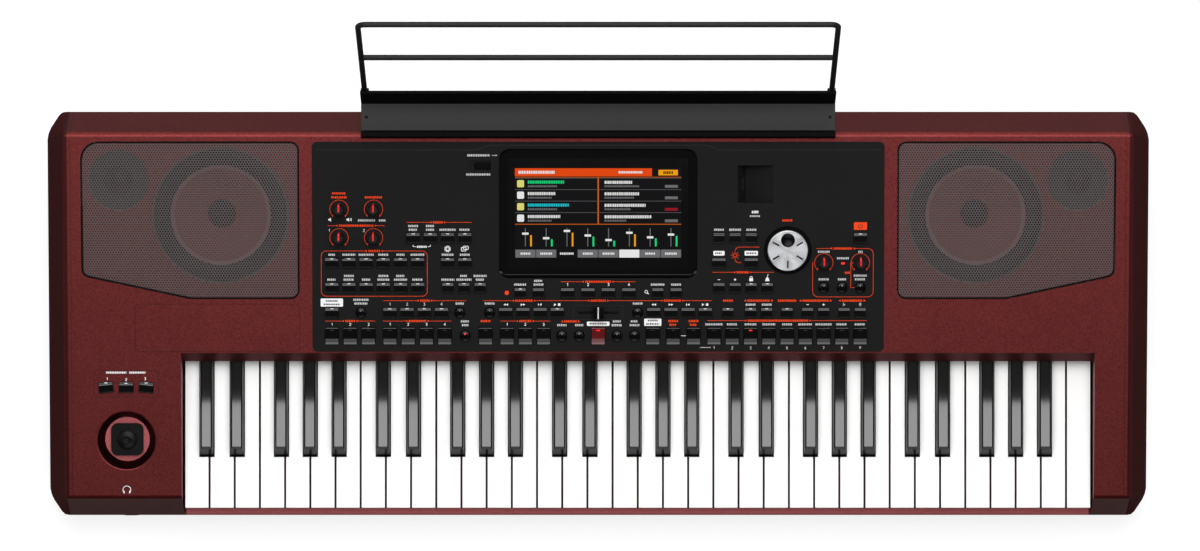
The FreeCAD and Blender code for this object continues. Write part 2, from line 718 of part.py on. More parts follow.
def make_main_board():
    x, y = main_board_centre()
    z = floor_z + STANDOFF_H
    board = block(x, y, MAIN_BOARD_W, MAIN_BOARD_D, z, z + BOARD_T)
    chip = MAIN_BOARD_D / 5
    chips = [block(x + i * 2 * chip, y, chip, chip, z + BOARD_T, z + 2 * BOARD_T) for i in (-1, 0, 1)]
    return board.fuse(chips).removeSplitter()


def panel_boss_places():
    """Bosses that carry the switch board under the panel."""
    near = (row_a + BIG_D / 2 + row_b - SMALL_D / 2) / 2
    mid = (row_c + row_d) / 2
    far = panel_depth - 2 * PANEL_LEDGE + BOSS_R
    side = panel_half - 2 * PANEL_LEDGE
    inner = display_half + DISPLAY_CLEARANCE + TUB_WALL + 2 * BOSS_R
    spots = [(side - PANEL_LEDGE, near), (display_half, near), (side, mid), (side, far), (inner, far)]
    return [(sign * u, v) for u, v in spots for sign in (-1, 1)]


def make_panel_board():
    half = panel_half - PANEL_LEDGE - WALL
    rear = panel_depth - PANEL_LEDGE - WALL
    board = box(-half, half, PANEL_LEDGE, rear, -BOARD_DROP - BOARD_T, -BOARD_DROP)
    return lay(board.cut(pocket_tub(2 * BUTTON_CLEARANCE)))


# Control panel

def button_sets():
    """Every button of the panel by its bank: kind, column and row."""
    left_big = left_columns[2:6] + left_columns[7:]
    mode = -display_half - MODE_OFFSET
    memory = -display_half - MEMORY_OFFSET
    style_pitch = (mode - SMALL_PITCH - STYLE_GAP - outer_left) / 5
    player_one = run(-PLAYER_ONE, -SMALL_PITCH, 4)
    player_round = player_one[-1] - NARROW_PITCH
    pads_round = player_round - PLAYER_GAP
    pads = run(pads_round - BIG_PITCH - 3 * SMALL_PITCH, SMALL_PITCH, 4)
    player_two = run(PLAYER_TWO, SMALL_PITCH, 4)
    set_wide = [SET_PITCH / 2, SET_PITCH * 3 / 2]
    set_narrow = [set_wide[1] + SPREAD_PITCH, set_wide[1] + SPREAD_PITCH + BIG_PITCH]
    octave_gaps = [0, NARROW_GAP, 0, NARROW_GAP, NARROW_GAP, 0, SPLIT_GAP]
    octave_room = outer_right - player_two[-1] - OCTAVE_GAP - sum(octave_gaps)
    octave_steps = [0] + [octave_room / len(octave_gaps) + gap for gap in octave_gaps]
    octave = [outer_right - step for step in accumulate(octave_steps)]
    mic = run(outer_right, -BIG_PITCH, 3)
    rounds_b = [(outer_left + pads[0]) / 2, pads_round, player_round, PLAYER_TWO - NARROW_PITCH]
    rounds_a = left_columns[:2] + [left_columns[6]] + right_columns[:2]
    return {
        "style_buttons": [("small", u, v) for u in run(outer_left, style_pitch, 6) for v in (row_c, row_d)],
        "mode_buttons": [("small", u, row_e) for u in run(mode, -SMALL_PITCH, 4)]
        + [("small", u, row_d) for u in run(mode, -SMALL_PITCH, 2)]
        + [("narrow", u, row_c) for u in run(memory, -NARROW_PITCH, 3)],
        "pad_buttons": [("small", u, row_b) for u in [outer_left] + pads],
        "player_buttons": [("small", u, row_b) for u in player_one + player_two],
        "keyboard_set_buttons": [("small", side * u, row_set) for u in set_wide for side in (-1, 1)]
        + [("narrow", side * u, row_set) for u in set_narrow for side in (-1, 1)],
        "menu_tempo_buttons": [("narrow", u, row_e) for u in run(menu_first, NARROW_PITCH, 3)]
        + [("small", u, row_d) for u in run(menu_first, 2 * NARROW_PITCH, 2)]
        + [("narrow", u, row_c) for u in run(menu_first, NARROW_PITCH, 4)],
        "octave_transpose_buttons": [("narrow", u, row_b) for u in octave],
        "arranger_buttons": [("big", u, row_a) for u in left_big],
        "sound_select_buttons": [("big", u, row_a) for u in right_columns[2:]],
        "round_buttons": [("round", u, row_a) for u in rounds_a] + [("round", u, row_b) for u in rounds_b]
        + [("round", u, row_c) for u in mic],
        "power_button": [("small", outer_right, row_e)],
        "start_stop_button": [("big", 0, row_a)],
    }


def button_size(kind):
    return {"small": (SMALL_W, SMALL_D), "narrow": (NARROW_W, SMALL_D), "big": (BIG_W, BIG_D),
            "switch": (SWITCH_W, SWITCH_D), "round": (2 * ROUND_R, 2 * ROUND_R)}[kind]


def button(kind, u, v, base):
    """One button: cap, flange under the panel and stem. Base is the level of the surface round it."""
    width, depth = button_size(kind)
    front = v - depth / 2
    rear = v + depth / 2
    root = button_root - BUTTON_FLANGE
    flange = block(u, v, width + 2 * BUTTON_FLANGE, depth + 2 * BUTTON_FLANGE, root, button_root)
    stem = block(u, v, STEM_W, STEM_W, -STEM_END, root)
    if kind == "round":
        rim = base + ROUND_RISE - CAP_EDGE
        shoulder = base + ROUND_RISE
        crown = shoulder + CAP_EDGE
        cap = turned([(0, button_root), (ROUND_R, button_root), (ROUND_R, rim),
                      (ROUND_R - CAP_EDGE, shoulder), (ROUND_R / 2, crown), (0, crown)], u, v)
    elif kind == "big":
        top = base + BIG_RISE
        cap = prism_x([(front, button_root), (rear, button_root), (rear, top - CAP_EDGE),
                       (rear - CAP_EDGE, top), (v - depth / 10, top), (front, base + CAP_EDGE)],
                      u - width / 2, u + width / 2)
    else:
        top = base + SMALL_RISE
        cap = prism_x([(front, button_root), (rear, button_root), (rear, base + SMALL_RISE / 2),
                       (rear - depth / 4, top), (front + CAP_EDGE, top), (front, top - CAP_EDGE)],
                      u - width / 2, u + width / 2)
    return cap.fuse([flange, stem])


def button_hole(kind, u, v):
    width, depth = button_size(kind)
    if kind == "round":
        return rod(u, v, ROUND_R + BUTTON_CLEARANCE, -FAR, FAR)
    return block(u, v, width + 2 * BUTTON_CLEARANCE, depth + 2 * BUTTON_CLEARANCE, -FAR, FAR)


def make_button_bank(buttons):
    return lay(group([button(kind, u, v, PANEL_LIFT) for kind, u, v in buttons]))


def make_switches():
    pieces = [turned_about(button("switch", u, v, 0), u, v, angle) for u, v, angle in switch_places()]
    return lay(group(pieces))


def knob_places():
    """Six rotary knobs by name."""
    first = outer_left + KNOB_INSET
    return {"master_volume_knob": (first, row_knob), "balance_knob": (first + KNOB_PITCH, row_knob),
            "assignable_knob_1": (first, row_e), "assignable_knob_2": (first + KNOB_PITCH, row_e),
            "mic_volume_knob": (outer_right - 2 * BIG_PITCH, row_d),
            "mic_effect_knob": (outer_right, row_d)}


def make_knob(u, v):
    base = PANEL_LIFT + BUTTON_CLEARANCE
    top = base + KNOB_H
    skirt = base + 3 * CAP_EDGE
    shaft = rod(u, v, SHAFT_R, -STEM_END, base)
    foot = turned([(0, base), (KNOB_R, base), (KNOB_R, skirt), (0, skirt)], u, v)

    def ring(radius, z):
        """Fluted outline: long ribs with a narrow groove after each."""
        turns = [math.tau * (k + shift) / KNOB_RIBS for k in range(KNOB_RIBS) for shift in (0, 0.6, 0.8)]
        reaches = [radius, radius, radius * (1 - KNOB_GROOVE)] * KNOB_RIBS
        return [Vector(u + r * math.cos(t), v + r * math.sin(t), z) for r, t in zip(reaches, turns)]
    grip = stack([ring(KNOB_R - CAP_EDGE, skirt), ring(KNOB_TOP_R, top - CAP_EDGE),
                  ring(KNOB_TOP_R - CAP_EDGE, top)])
    return lay(grip.fuse([foot, shaft]))


def make_dial():
    u, v = dial_place
    base = PANEL_LIFT - PANEL_SINK + BUTTON_CLEARANCE
    top = base + DIAL_H
    profile = [(0, -STEM_END), (SHAFT_R, -STEM_END), (SHAFT_R, base), (DIAL_R, base),
               (DIAL_R, top - CAP_EDGE), (DIAL_R - CAP_EDGE, top), (0, top)]
    hollow = [(0, FAR), (0, top - DIAL_DIMPLE)]
    for share in (0.4, 0.7, 0.9, 1):
        hollow.append((DIAL_DIMPLE_R * share, top - DIAL_DIMPLE * (1 - share ** 2)))
    dimple = turned(hollow + [(DIAL_DIMPLE_R, FAR)], u, v + DIAL_DIMPLE_OFFSET)
    return lay(turned(profile, u, v).cut(dimple))


def slider(u, v, base, cap):
    """Slider cap on its tongue, with the carriage under the panel."""
    tongue = block(u, v, TONGUE_L, TONGUE_T, button_root - BUTTON_FLANGE, base)
    carriage = block(u, v, TONGUE_L, 3 * SLOT_W, button_root - BUTTON_FLANGE, button_root)
    return lay(cap.fuse([tongue, carriage]))


def make_crossfader():
    base = PANEL_LIFT - PANEL_SINK + BUTTON_CLEARANCE
    half = FADER_CAP_W / 2
    top = base + FADER_CAP_H
    valley = top - FADER_CAP_H / 4
    cap = prism_y([(-half, base), (half, base), (half - CAP_EDGE, top), (half / 3, top), (CAP_EDGE, valley),
                   (-CAP_EDGE, valley), (-half / 3, top), (CAP_EDGE - half, top)],
                  row_b - FADER_CAP_D / 2, row_b + FADER_CAP_D / 2)
    return slider(0, row_b, base, cap)


def lock_centre():
    return -display_half - LOCK_OFFSET, panel_depth - LOCK_REAR


def make_lock_slider():
    u, v = lock_centre()
    u += LOCK_TRAVEL / 2
    base = PANEL_LIFT - LOCK_SINK + BUTTON_CLEARANCE
    depth = LOCK_D - 4 * BUTTON_CLEARANCE
    cap = block(u, v, LOCK_CAP_W, depth, base, PANEL_LIFT + CAP_EDGE)
    groove = CAP_EDGE * 2
    grooves = [block(x, v, groove, depth, PANEL_LIFT, FAR) for x in run(u - 3 * groove, 2 * groove, 4)]
    return slider(u, v, base, cap.cut(grooves))


def pocket_wedge(grow):
    """Space of the memory stick pocket: deep at its leaning left wall, shallow on the right."""
    left = display_half + POCKET_OFFSET - grow
    right = display_half + POCKET_OFFSET + POCKET_W + grow
    rear = panel_depth - POCKET_REAR + grow
    deep = -POCKET_DEEP - grow
    shallow = -POCKET_SHALLOW - grow
    profile = [(left, PANEL_LIFT), (left + POCKET_RUN, deep), (right, shallow), (right, PANEL_LIFT)]
    return prism_y(profile, rear - POCKET_D - 2 * grow, rear)


def pocket_tub(grow):
    """Walls of the pocket under the panel."""
    return pocket_wedge(TUB_WALL + grow).cut(box(-FAR, FAR, -FAR, FAR, -PANEL_PLUG / 2, FAR))


def pocket_port():
    """Socket mouth in the pocket's leaning wall."""
    u = display_half + POCKET_OFFSET + POCKET_RUN / 2
    v = panel_depth - POCKET_REAR - POCKET_D / 2
    return block(u, v, PORT_H, PORT_W, -POCKET_DEEP * 0.75, -POCKET_DEEP * 0.3)


def display_tub(grow):
    """Box that the display lies in, or its walls when grown."""
    half = display_half + DISPLAY_CLEARANCE + grow
    floor = DISPLAY_PROUD - DISPLAY_T - TUB_GAP - grow
    front = display_front - DISPLAY_CLEARANCE - grow
    rear = display_rear + DISPLAY_CLEARANCE + grow
    radius = DISPLAY_R - DISPLAY_CORNER_EASE + grow
    return rounded_block(0, (front + rear) / 2, 2 * half, rear - front, floor, 0, radius)


def make_control_panel():
    plate = rounded_block(0, panel_depth / 2, 2 * panel_half, panel_depth, 0, PANEL_LIFT, PANEL_R)
    plug_half = panel_half - PANEL_LEDGE - PANEL_FIT
    plug = box(-plug_half, plug_half, PANEL_LEDGE + PANEL_FIT, panel_depth - rear_ledge - PANEL_FIT,
               -PANEL_PLUG, 0)
    bosses = [rod(u, v, BOSS_R, -BOARD_DROP, -PANEL_PLUG / 2) for u, v in panel_boss_places()]
    panel = plate.fuse([plug, display_tub(TUB_WALL), pocket_tub(0)] + bosses)

    tub = display_tub(0)
    above = tub.copy()
    above.translate(Vector(0, 0, PANEL_LIFT))
    cuts = [tub, above, pocket_wedge(0), pocket_port()]
    reach = display_half + DISPLAY_CLEARANCE + 2 * TUB_WALL
    cuts.append(rod_x(-reach, reach, hinge_v, hinge_w, HINGE_PIN_R + PIVOT_CLEARANCE))
    for buttons in button_sets().values():
        cuts += [button_hole(*place) for place in buttons]
    shafts = list(knob_places().values()) + [dial_place]
    cuts += [rod(u, v, SHAFT_R + SHAFT_CLEARANCE, -FAR, FAR) for u, v in shafts]
    cuts.append(rod(*dial_place, DIAL_R + DIAL_SURROUND, PANEL_LIFT - PANEL_SINK, FAR))
    cuts.append(block(0, row_b, FADER_W, FADER_D, PANEL_LIFT - PANEL_SINK, FAR))
    cuts.append(block(0, row_b, FADER_SLOT, SLOT_W, -FAR, FAR))
    lock_u, lock_v = lock_centre()
    cuts.append(block(lock_u, lock_v, LOCK_W, LOCK_D, PANEL_LIFT - LOCK_SINK, FAR))
    cuts.append(block(lock_u, lock_v, LOCK_TRAVEL + TONGUE_L + 2 * BUTTON_CLEARANCE, SLOT_W, -FAR, FAR))
    return lay(panel.cut(cuts))


# Display

def screen_size():
    return DISPLAY_W - 2 * SCREEN_MARGIN, DISPLAY_D - 2 * SCREEN_MARGIN


def make_display_housing():
    middle = (display_front + display_rear) / 2
    low = DISPLAY_PROUD - DISPLAY_T
    plan = rounded_block(0, middle, DISPLAY_W, DISPLAY_D, low, DISPLAY_PROUD, DISPLAY_R)
    nose = rod_x(-display_half, display_half, hinge_v, hinge_w, DISPLAY_T / 2)
    slab = box(-display_half, display_half, hinge_v, display_rear, low, DISPLAY_PROUD)
    width, depth = screen_size()
    cuts = [block(0, middle, width, depth, DISPLAY_PROUD - SCREEN_T, FAR),
            rod_x(-FAR, HINGE_PIN_GRIP - display_half, hinge_v, hinge_w, HINGE_PIN_R),
            rod_x(display_half - HINGE_PIN_GRIP, FAR, hinge_v, hinge_w, HINGE_PIN_R)]
    for u in run(NOTCH_FIRST, NOTCH_PITCH, 3):
        cuts += [block(side * u, display_front, NOTCH_W, 2 * NOTCH_D, low, FAR) for side in (-1, 1)]
    return lay(nose.fuse(slab).common(plan).cut(cuts))


def make_display_screen():
    width, depth = screen_size()
    middle = (display_front + display_rear) / 2
    return lay(block(0, middle, width, depth, DISPLAY_PROUD - SCREEN_T, DISPLAY_PROUD))


def make_hinge_pins():
    end = display_half + DISPLAY_CLEARANCE + TUB_WALL
    pin = rod_x(-end, HINGE_PIN_GRIP - display_half, hinge_v, hinge_w, HINGE_PIN_R)
    return lay(group(both_sides(pin)))


# Loudspeakers

def make_grille():
    """Left grille: a plate with its rim folded down to the baffle."""
    tray = grille_outline(0, -GRILLE_RECESS, -GRILLE_SINK)
    inside = grille_outline(-GRILLE_T, -GRILLE_RECESS, -GRILLE_SINK - GRILLE_T)
    return lay(tray.cut(inside))


def make_baskets():
    top = baffle_under
    foot = top - WOOFER_DEPTH
    neck = foot + WOOFER_DEPTH / 3
    flange = woofer_edge
    rim = flange - 2 * FLANGE_T
    seat = top - FLANGE_T
    profile = [(flange, top), (flange, seat), (rim, seat), (MAGNET_R, neck), (MAGNET_R, foot),
               (0, foot), (0, neck - FLANGE_T), (MAGNET_R - FLANGE_T, neck), (rim - FLANGE_T, seat),
               (rim - FLANGE_T, top)]
    return lay(group(both_sides(turned(profile, -woofer_u, woofer_v))))


def make_cones():
    top = baffle_under
    roll = (CONE_R + WOOFER_R) / 2
    edge = WOOFER_R - CONE_SKIN
    neck = top - CONE_DEPTH
    profile = [(edge, top), (edge, top + CONE_SKIN), (roll, top + 2 * CONE_SKIN), (CONE_R, top + CONE_SKIN),
               (DUST_CAP_R, neck), (DUST_CAP_R / 2, neck + 2 * CONE_SKIN), (0, neck + 3 * CONE_SKIN),
               (0, neck - CONE_SKIN), (DUST_CAP_R, neck - CONE_SKIN), (CONE_R, top)]
    return lay(group(both_sides(turned(profile, -woofer_u, woofer_v))))


def make_tweeters():
    top = baffle_under
    foot = top - TWEETER_DEPTH
    groove = top - FLANGE_T / 2
    profile = [(tweeter_edge, top), (tweeter_edge, top - FLANGE_T), (TWEETER_BODY_R, top - FLANGE_T),
               (TWEETER_BODY_R, foot), (0, foot), (0, top + FLANGE_T / 2),
               (TWEETER_DOME_R / 2, top + FLANGE_T / 3), (TWEETER_DOME_R, groove),
               (TWEETER_DOME_R + FLANGE_T / 2, groove)]
    return lay(group(both_sides(turned(profile, -tweeter_u, tweeter_v))))


# Keys

WHITE_NAMES = ["c", "d", "e", "f", "g", "a", "b"]
BLACK_SEAMS = {"c_sharp": (1, -INNER_SHIFT), "d_sharp": (2, INNER_SHIFT), "f_sharp": (4, -OUTER_SHIFT),
               "g_sharp": (5, 0), "a_sharp": (6, OUTER_SHIFT)}


def key_arm(x):
    arm = box(x - ARM_W / 2, x + ARM_W / 2, tail_end - KEY_SKIN, pivot_y + ARM_H / 2,
              pivot_z - ARM_H / 2, pivot_z + ARM_H / 2)
    return arm.cut(rod_x(x - ARM_W, x + ARM_W, pivot_y, pivot_z, PIVOT_R + PIVOT_CLEARANCE))


def white_key(left, right, tail_left, tail_right):
    """White key: hollow head with a skirt, narrower tail between the black keys, and its arm."""
    notch = black_foot - BLACK_NOTCH
    under = KEY_TOP - KEY_BODY
    head = box(left, right, key_front, notch, under, KEY_TOP)
    tail = box(tail_left, tail_right, notch, tail_end, under, KEY_TOP)
    skirt = box(left, right, key_front, key_front + KEY_SKIN, KEY_TOP - WHITE_SKIRT, under)
    body = head.fuse([tail, skirt]).removeSplitter()
    body = body.makeFillet(KEY_GAP, edges_at(body, Vector((left + right) / 2, key_front, KEY_TOP)))
    roof = KEY_TOP - KEY_SKIN
    waist = notch - KEY_SKIN
    hollows = [box(left + KEY_SKIN, right - KEY_SKIN, key_front + KEY_SKIN, waist, under, roof),
               box(tail_left + KEY_SKIN, tail_right - KEY_SKIN, waist, tail_end - KEY_SKIN, under, roof)]
    return body.cut(hollows).fuse(key_arm((tail_left + tail_right) / 2))


def black_key(x):
    """Black key: straight foot in its slot, raked and tapered top, and its arm."""
    def ring(width, front, z):
        half = width / 2
        return [Vector(x - half, front, z), Vector(x + half, front, z), Vector(x + half, tail_end, z),
                Vector(x - half, tail_end, z)]
    body = stack([ring(BLACK_BASE_W, black_foot, KEY_TOP - BLACK_RISE),
                  ring(BLACK_BASE_W, black_foot, KEY_TOP),
                  ring(BLACK_TOP_W + 2 * BLACK_EASE, black_foot + BLACK_RAKE - BLACK_EASE,
                       KEY_TOP + BLACK_RISE - BLACK_EASE),
                  ring(BLACK_TOP_W, black_foot + BLACK_RAKE + BLACK_EASE, KEY_TOP + BLACK_RISE)])
    return body.fuse(key_arm(x))


def make_keys():
    """All keys by note name; each name holds that note of every octave."""
    keys = {name: [] for name in WHITE_NAMES + list(BLACK_SEAMS)}
    slot_half = BLACK_BASE_W / 2 + BLACK_CLEARANCE
    slots = {seam: seam * KEY_PITCH + shift for seam, shift in BLACK_SEAMS.values()}
    octaves = WHITE_COUNT // len(WHITE_NAMES)
    for octave in range(octaves):
        start = first_key + octave * len(WHITE_NAMES) * KEY_PITCH
        for i, name in enumerate(WHITE_NAMES):
            left = start + i * KEY_PITCH + KEY_GAP / 2
            right = left + KEY_PITCH - KEY_GAP
            tail_left = start + slots[i] + slot_half if i in slots else left
            tail_right = start + slots[i + 1] - slot_half if i + 1 in slots else right
            keys[name].append(white_key(left, right, tail_left, tail_right))
        for name, (seam, shift) in BLACK_SEAMS.items():
            keys[name].append(black_key(start + slots[seam]))
    left = first_key + (WHITE_COUNT - 1) * KEY_PITCH + KEY_GAP / 2
    right = left + KEY_PITCH - KEY_GAP
    keys["c"].append(white_key(left, right, left, right))
    return {name + "_keys": group(shapes) for name, shapes in keys.items()}


def lug_places():
    """Supports of the pivot rod: at both ends and between the octaves."""
    octave = len(WHITE_NAMES) * KEY_PITCH
    last_key = first_key + WHITE_COUNT * KEY_PITCH
    return run(first_key, octave, WHITE_COUNT // len(WHITE_NAMES) + 1) + [last_key]


def make_keybed():
    front = front_y + BEVEL_IN + 2 * WALL
    back = pivot_y + ARM_H
    inner = keybed_top - KEYBED_T
    profile = [(front, floor_z), (front, keybed_top), (back, keybed_top), (back, floor_z),
               (back - KEYBED_T, floor_z), (back - KEYBED_T, inner), (front + KEYBED_T, inner),
               (front + KEYBED_T, floor_z)]
    channel = prism_x(profile, first_key - LUG_W, bay_right - BAY_CLEARANCE + LUG_W)
    lugs = [block(x, pivot_y, LUG_W, ARM_H, keybed_top, pivot_z + ARM_H / 2) for x in lug_places()]
    bed = channel.fuse(lugs).removeSplitter()
    return bed.cut(rod_x(-FAR, FAR, pivot_y, pivot_z, PIVOT_R + PIVOT_CLEARANCE))


def make_pivot_rod():
    ends = lug_places()
    return rod_x(ends[0] - LUG_W, ends[-1] + LUG_W, pivot_y, pivot_z, PIVOT_R)


def make_contact_board():
    """Board under the keys with one long strip of rubber contacts."""
    left = first_key
    right = bay_right - BAY_CLEARANCE
    middle = black_foot / 4
    board = box(left, right, middle - 4 * ARM_W, middle + 3 * ARM_W, keybed_top, keybed_top + BOARD_T)
    travel = KEY_DIP * (pivot_y - middle) / (pivot_y - key_front)
    top = KEY_TOP - KEY_BODY - travel - CONTACT_GAP
    base = keybed_top + BOARD_T
    strip = prism_x([(middle - ARM_W, base), (middle + ARM_W, base), (middle + ARM_W / 2, top),
                     (middle - ARM_W / 2, top)], left, right)
    return board.fuse(strip)


# Joystick

def make_boot():
    floor = -DISH_DEPTH
    boot = rounded_block(dish_u, dish_v, BOOT_W, BOOT_W, floor, floor + BOOT_H, BOOT_R)
    return lay(boot.cut(Part.makeSphere(BALL_R + BALL_CLEARANCE, Vector(dish_u, dish_v, ball_w))))


def make_gimbal():
    outer = 2 * GIMBAL_HALF
    inner = outer - 2 * GIMBAL_BAR
    low = ball_w - GIMBAL_T / 2
    high = ball_w + GIMBAL_T / 2
    frame = block(dish_u, dish_v, outer, outer, low, high)
    reach = BALL_R + 2 * BALL_CLEARANCE + GIMBAL_LUG
    frame = frame.fuse(rod_y(dish_u, dish_v - reach, dish_v + reach, ball_w, GIMBAL_PIN_R))
    frame = frame.cut(block(dish_u, dish_v, inner, inner, low - WALL, high + WALL))
    bore = rod_x(dish_u - outer, dish_u + outer, dish_v, ball_w, GIMBAL_PIN_R + PIVOT_CLEARANCE)
    return lay(frame.cut(bore))


def make_stick():
    top = ball_w + BALL_R + STICK_LENGTH
    foot = ball_w - GIMBAL_PIN_R
    turns = [math.radians(CAP_ANGLE * share) for share in (0.25, 0.5, 0.75, 1)]
    skin = BALL_R - BALL_SKIN
    under = [(skin * math.sin(turn), ball_w + skin * math.cos(turn)) for turn in turns]
    over = [(BALL_R * math.sin(turn), ball_w + BALL_R * math.cos(turn)) for turn in turns]
    profile = [(0, foot), (STICK_TIP_R, foot), (STICK_TIP_R, ball_w + skin)] + under + over[::-1]
    root = ball_w + math.sqrt(BALL_R ** 2 - STICK_R ** 2)
    profile += [(STICK_R, root), (STICK_TIP_R, top - CAP_EDGE), (STICK_TIP_R - CAP_EDGE, top), (0, top)]
    pin = rod_x(dish_u - GIMBAL_HALF, dish_u + GIMBAL_HALF, dish_v, ball_w, GIMBAL_PIN_R)
    return lay(turned(profile, dish_u, dish_v).fuse(pin))


# Music stand

def stand_lean(along, behind):
    """Point on the leaning back: along it from the ledge, and behind its front face."""
    sin = math.sin(math.radians(STAND_LEAN))
    cos = math.cos(math.radians(STAND_LEAN))
    edge = on_panel(0, top_rear, 0)
    foot_y = edge.y - LIP_AHEAD + LIP_RUN + LEDGE_RUN
    foot_z = edge.z + STAND_GAP + LEDGE_T
    return Vector(0, foot_y + along * sin + behind * cos, foot_z + along * cos - behind * sin)


def rod_line(along):
    """Middle of the wire frame's leg, at a distance along the leaning back."""
    return stand_lean(along, LEDGE_T + ROD_WALL + ROD_R)


def make_stand_tray():
    edge = on_panel(0, top_rear, 0)
    front = edge.y - LIP_AHEAD
    low = edge.z + STAND_GAP
    high = low + LEDGE_T
    foot = stand_lean(0, 0)
    lip_top = high + LIP_H
    back = stand_lean(BACK_H, LEDGE_T)
    face_top = stand_lean(BACK_H, 0)
    heel = stand_lean(0, LEDGE_T)
    profile = [(front, low), (heel.y, low), (heel.y, heel.z), (back.y, back.z), (face_top.y, face_top.z),
               (foot.y, foot.z), (front + LIP_RUN, high), (front + LIP_RUN - LEDGE_T / 2, lip_top),
               (front + LEDGE_T / 2, lip_top)]
    tray = prism_x(profile, -STAND_HALF, STAND_HALF)
    peg = peg_centre()
    pegs = [block(x, peg.y, PEG_W, PEG_T, peg.z - PEG_DEPTH, low + LEDGE_T / 2) for x in (-PEG_X, PEG_X)]
    clips = []
    bores = []
    base = stand_lean(0, LEDGE_T)
    on_back = FreeCAD.Placement(Vector(0, base.y, base.z), FreeCAD.Rotation(Vector(1, 0, 0), -STAND_LEAN))
    reach = ROD_R + ROD_WALL
    for x in (-stand_rod_x, stand_rod_x):
        clip = box(x - reach, x + reach, -LEDGE_T / 2, 2 * reach, 0, CLIP_H)
        bore = rod(x, reach, ROD_R, CLIP_FLOOR, CLIP_H)
        for shape, pile in ((clip, clips), (bore, bores)):
            shape.Placement = on_back.multiply(shape.Placement)
            pile.append(shape)
    return tray.fuse(pegs + clips).cut(bores)


def make_stand_frame():
    """Wire bent into an arch, with a bar across it."""
    x = stand_rod_x
    foot = rod_line(CLIP_FLOOR)
    bend = rod_line(FRAME_H - ROD_BEND)
    top = rod_line(FRAME_H)
    corner = rod_line(FRAME_H - ROD_BEND * (1 - math.sqrt(0.5)))
    inset = ROD_BEND * (1 - math.sqrt(0.5))

    def at(point, px):
        return Vector(px, point.y, point.z)
    path = [Part.LineSegment(at(foot, -x), at(bend, -x)).toShape(),
            Part.Arc(at(bend, -x), at(corner, inset - x), at(top, ROD_BEND - x)).toShape(),
            Part.LineSegment(at(top, ROD_BEND - x), at(top, x - ROD_BEND)).toShape(),
            Part.Arc(at(top, x - ROD_BEND), at(corner, x - inset), at(bend, x)).toShape(),
            Part.LineSegment(at(bend, x), at(foot, x)).toShape()]
    ring = Part.Wire(Part.makeCircle(ROD_R, at(foot, -x), top - foot))
    arch = Part.Wire(path).makePipeShell([ring], True, False)
    bar = rod_line(MID_BAR)
    reach = x - ROD_R / 2
    return arch.fuse(rod_x(-reach, reach, bar.y, bar.z, ROD_R))


# Build, centre and write every piece

def build():
    hull = case_hull(0)
    hollow = case_hull(WALL)
    middle = middle_of(hull)
    cheek = make_cheek(hull, hollow)
    grille = make_grille()
    parts = {
        "top_case": make_top_case(middle, hollow),
        "bottom_case": make_bottom_case(middle, hollow),
        "right_end_cheek": cheek,
        "left_end_cheek": mirrored(cheek),
        "rubber_feet": make_feet(),
        "case_screws": make_screws(),
        "jack_sockets": make_sockets(),
        "main_board": make_main_board(),
        "panel_board": make_panel_board(),
        "control_panel": make_control_panel(),
        "left_speaker_grille": grille,
        "right_speaker_grille": mirrored(grille),
        "woofer_baskets": make_baskets(),
        "woofer_cones": make_cones(),
        "tweeters": make_tweeters(),
        "keybed_frame": make_keybed(),
        "key_pivot_rod": make_pivot_rod(),
        "key_contact_board": make_contact_board(),
        "joystick_boot": make_boot(),
        "joystick_gimbal": make_gimbal(),
        "joystick_stick": make_stick(),
        "display_housing": make_display_housing(),
        "display_screen": make_display_screen(),
        "display_hinge_pins": make_hinge_pins(),
        "display_lock_slider": make_lock_slider(),
        "crossfader_cap": make_crossfader(),
        "value_dial": make_dial(),
        "assignable_switches": make_switches(),
        "music_stand_tray": make_stand_tray(),
        "music_stand_frame": make_stand_frame(),
    }
    for name, buttons in button_sets().items():
        parts[name] = make_button_bank(buttons)
    for name, place in knob_places().items():
        parts[name] = make_knob(*place)
    parts.update(make_keys())
    return parts


def middle_y():
    """Half way between the front socket's rim and the back of the stand's wire frame."""
    return (front_y - JACK_FLANGE_T + rod_line(FRAME_H).y + ROD_R) / 2


def tell(name, point):
    print("%s %.3f %.3f %.3f" % (name, point.x, point.y - middle_y(), point.z))


def main():
    os.makedirs("parts", exist_ok=True)
    for name, shape in build().items():
        shape.translate(Vector(0, -middle_y(), 0))
        shape.exportStep(os.path.join("parts", name + ".step"))
        print(name, len(shape.Solids), shape.isValid(), round(shape.Volume))
    tell("key_pivot", Vector(0, pivot_y, pivot_z))
    tell("display_hinge", on_panel(0, hinge_v, hinge_w))
    tell("joystick_pivot", on_panel(dish_u, dish_v, ball_w))
    tell("value_dial", on_panel(*dial_place, 0))
    for name, place in knob_places().items():
        tell(name, on_panel(*place, 0))
    tell("panel_front", on_panel(0, 0, 0))


main()
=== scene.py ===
# %% [markdown]
# # Arranger keyboard: finish, print and light
# The solids of the keyboard come ready made, each on the body that it moves with. This lesson
# dresses them: painted shells, punched grilles, panel print, lamps and a lit display. Nothing
# that was loaded is moved. New pieces are placed by measuring the solids, so they fit by themselves.

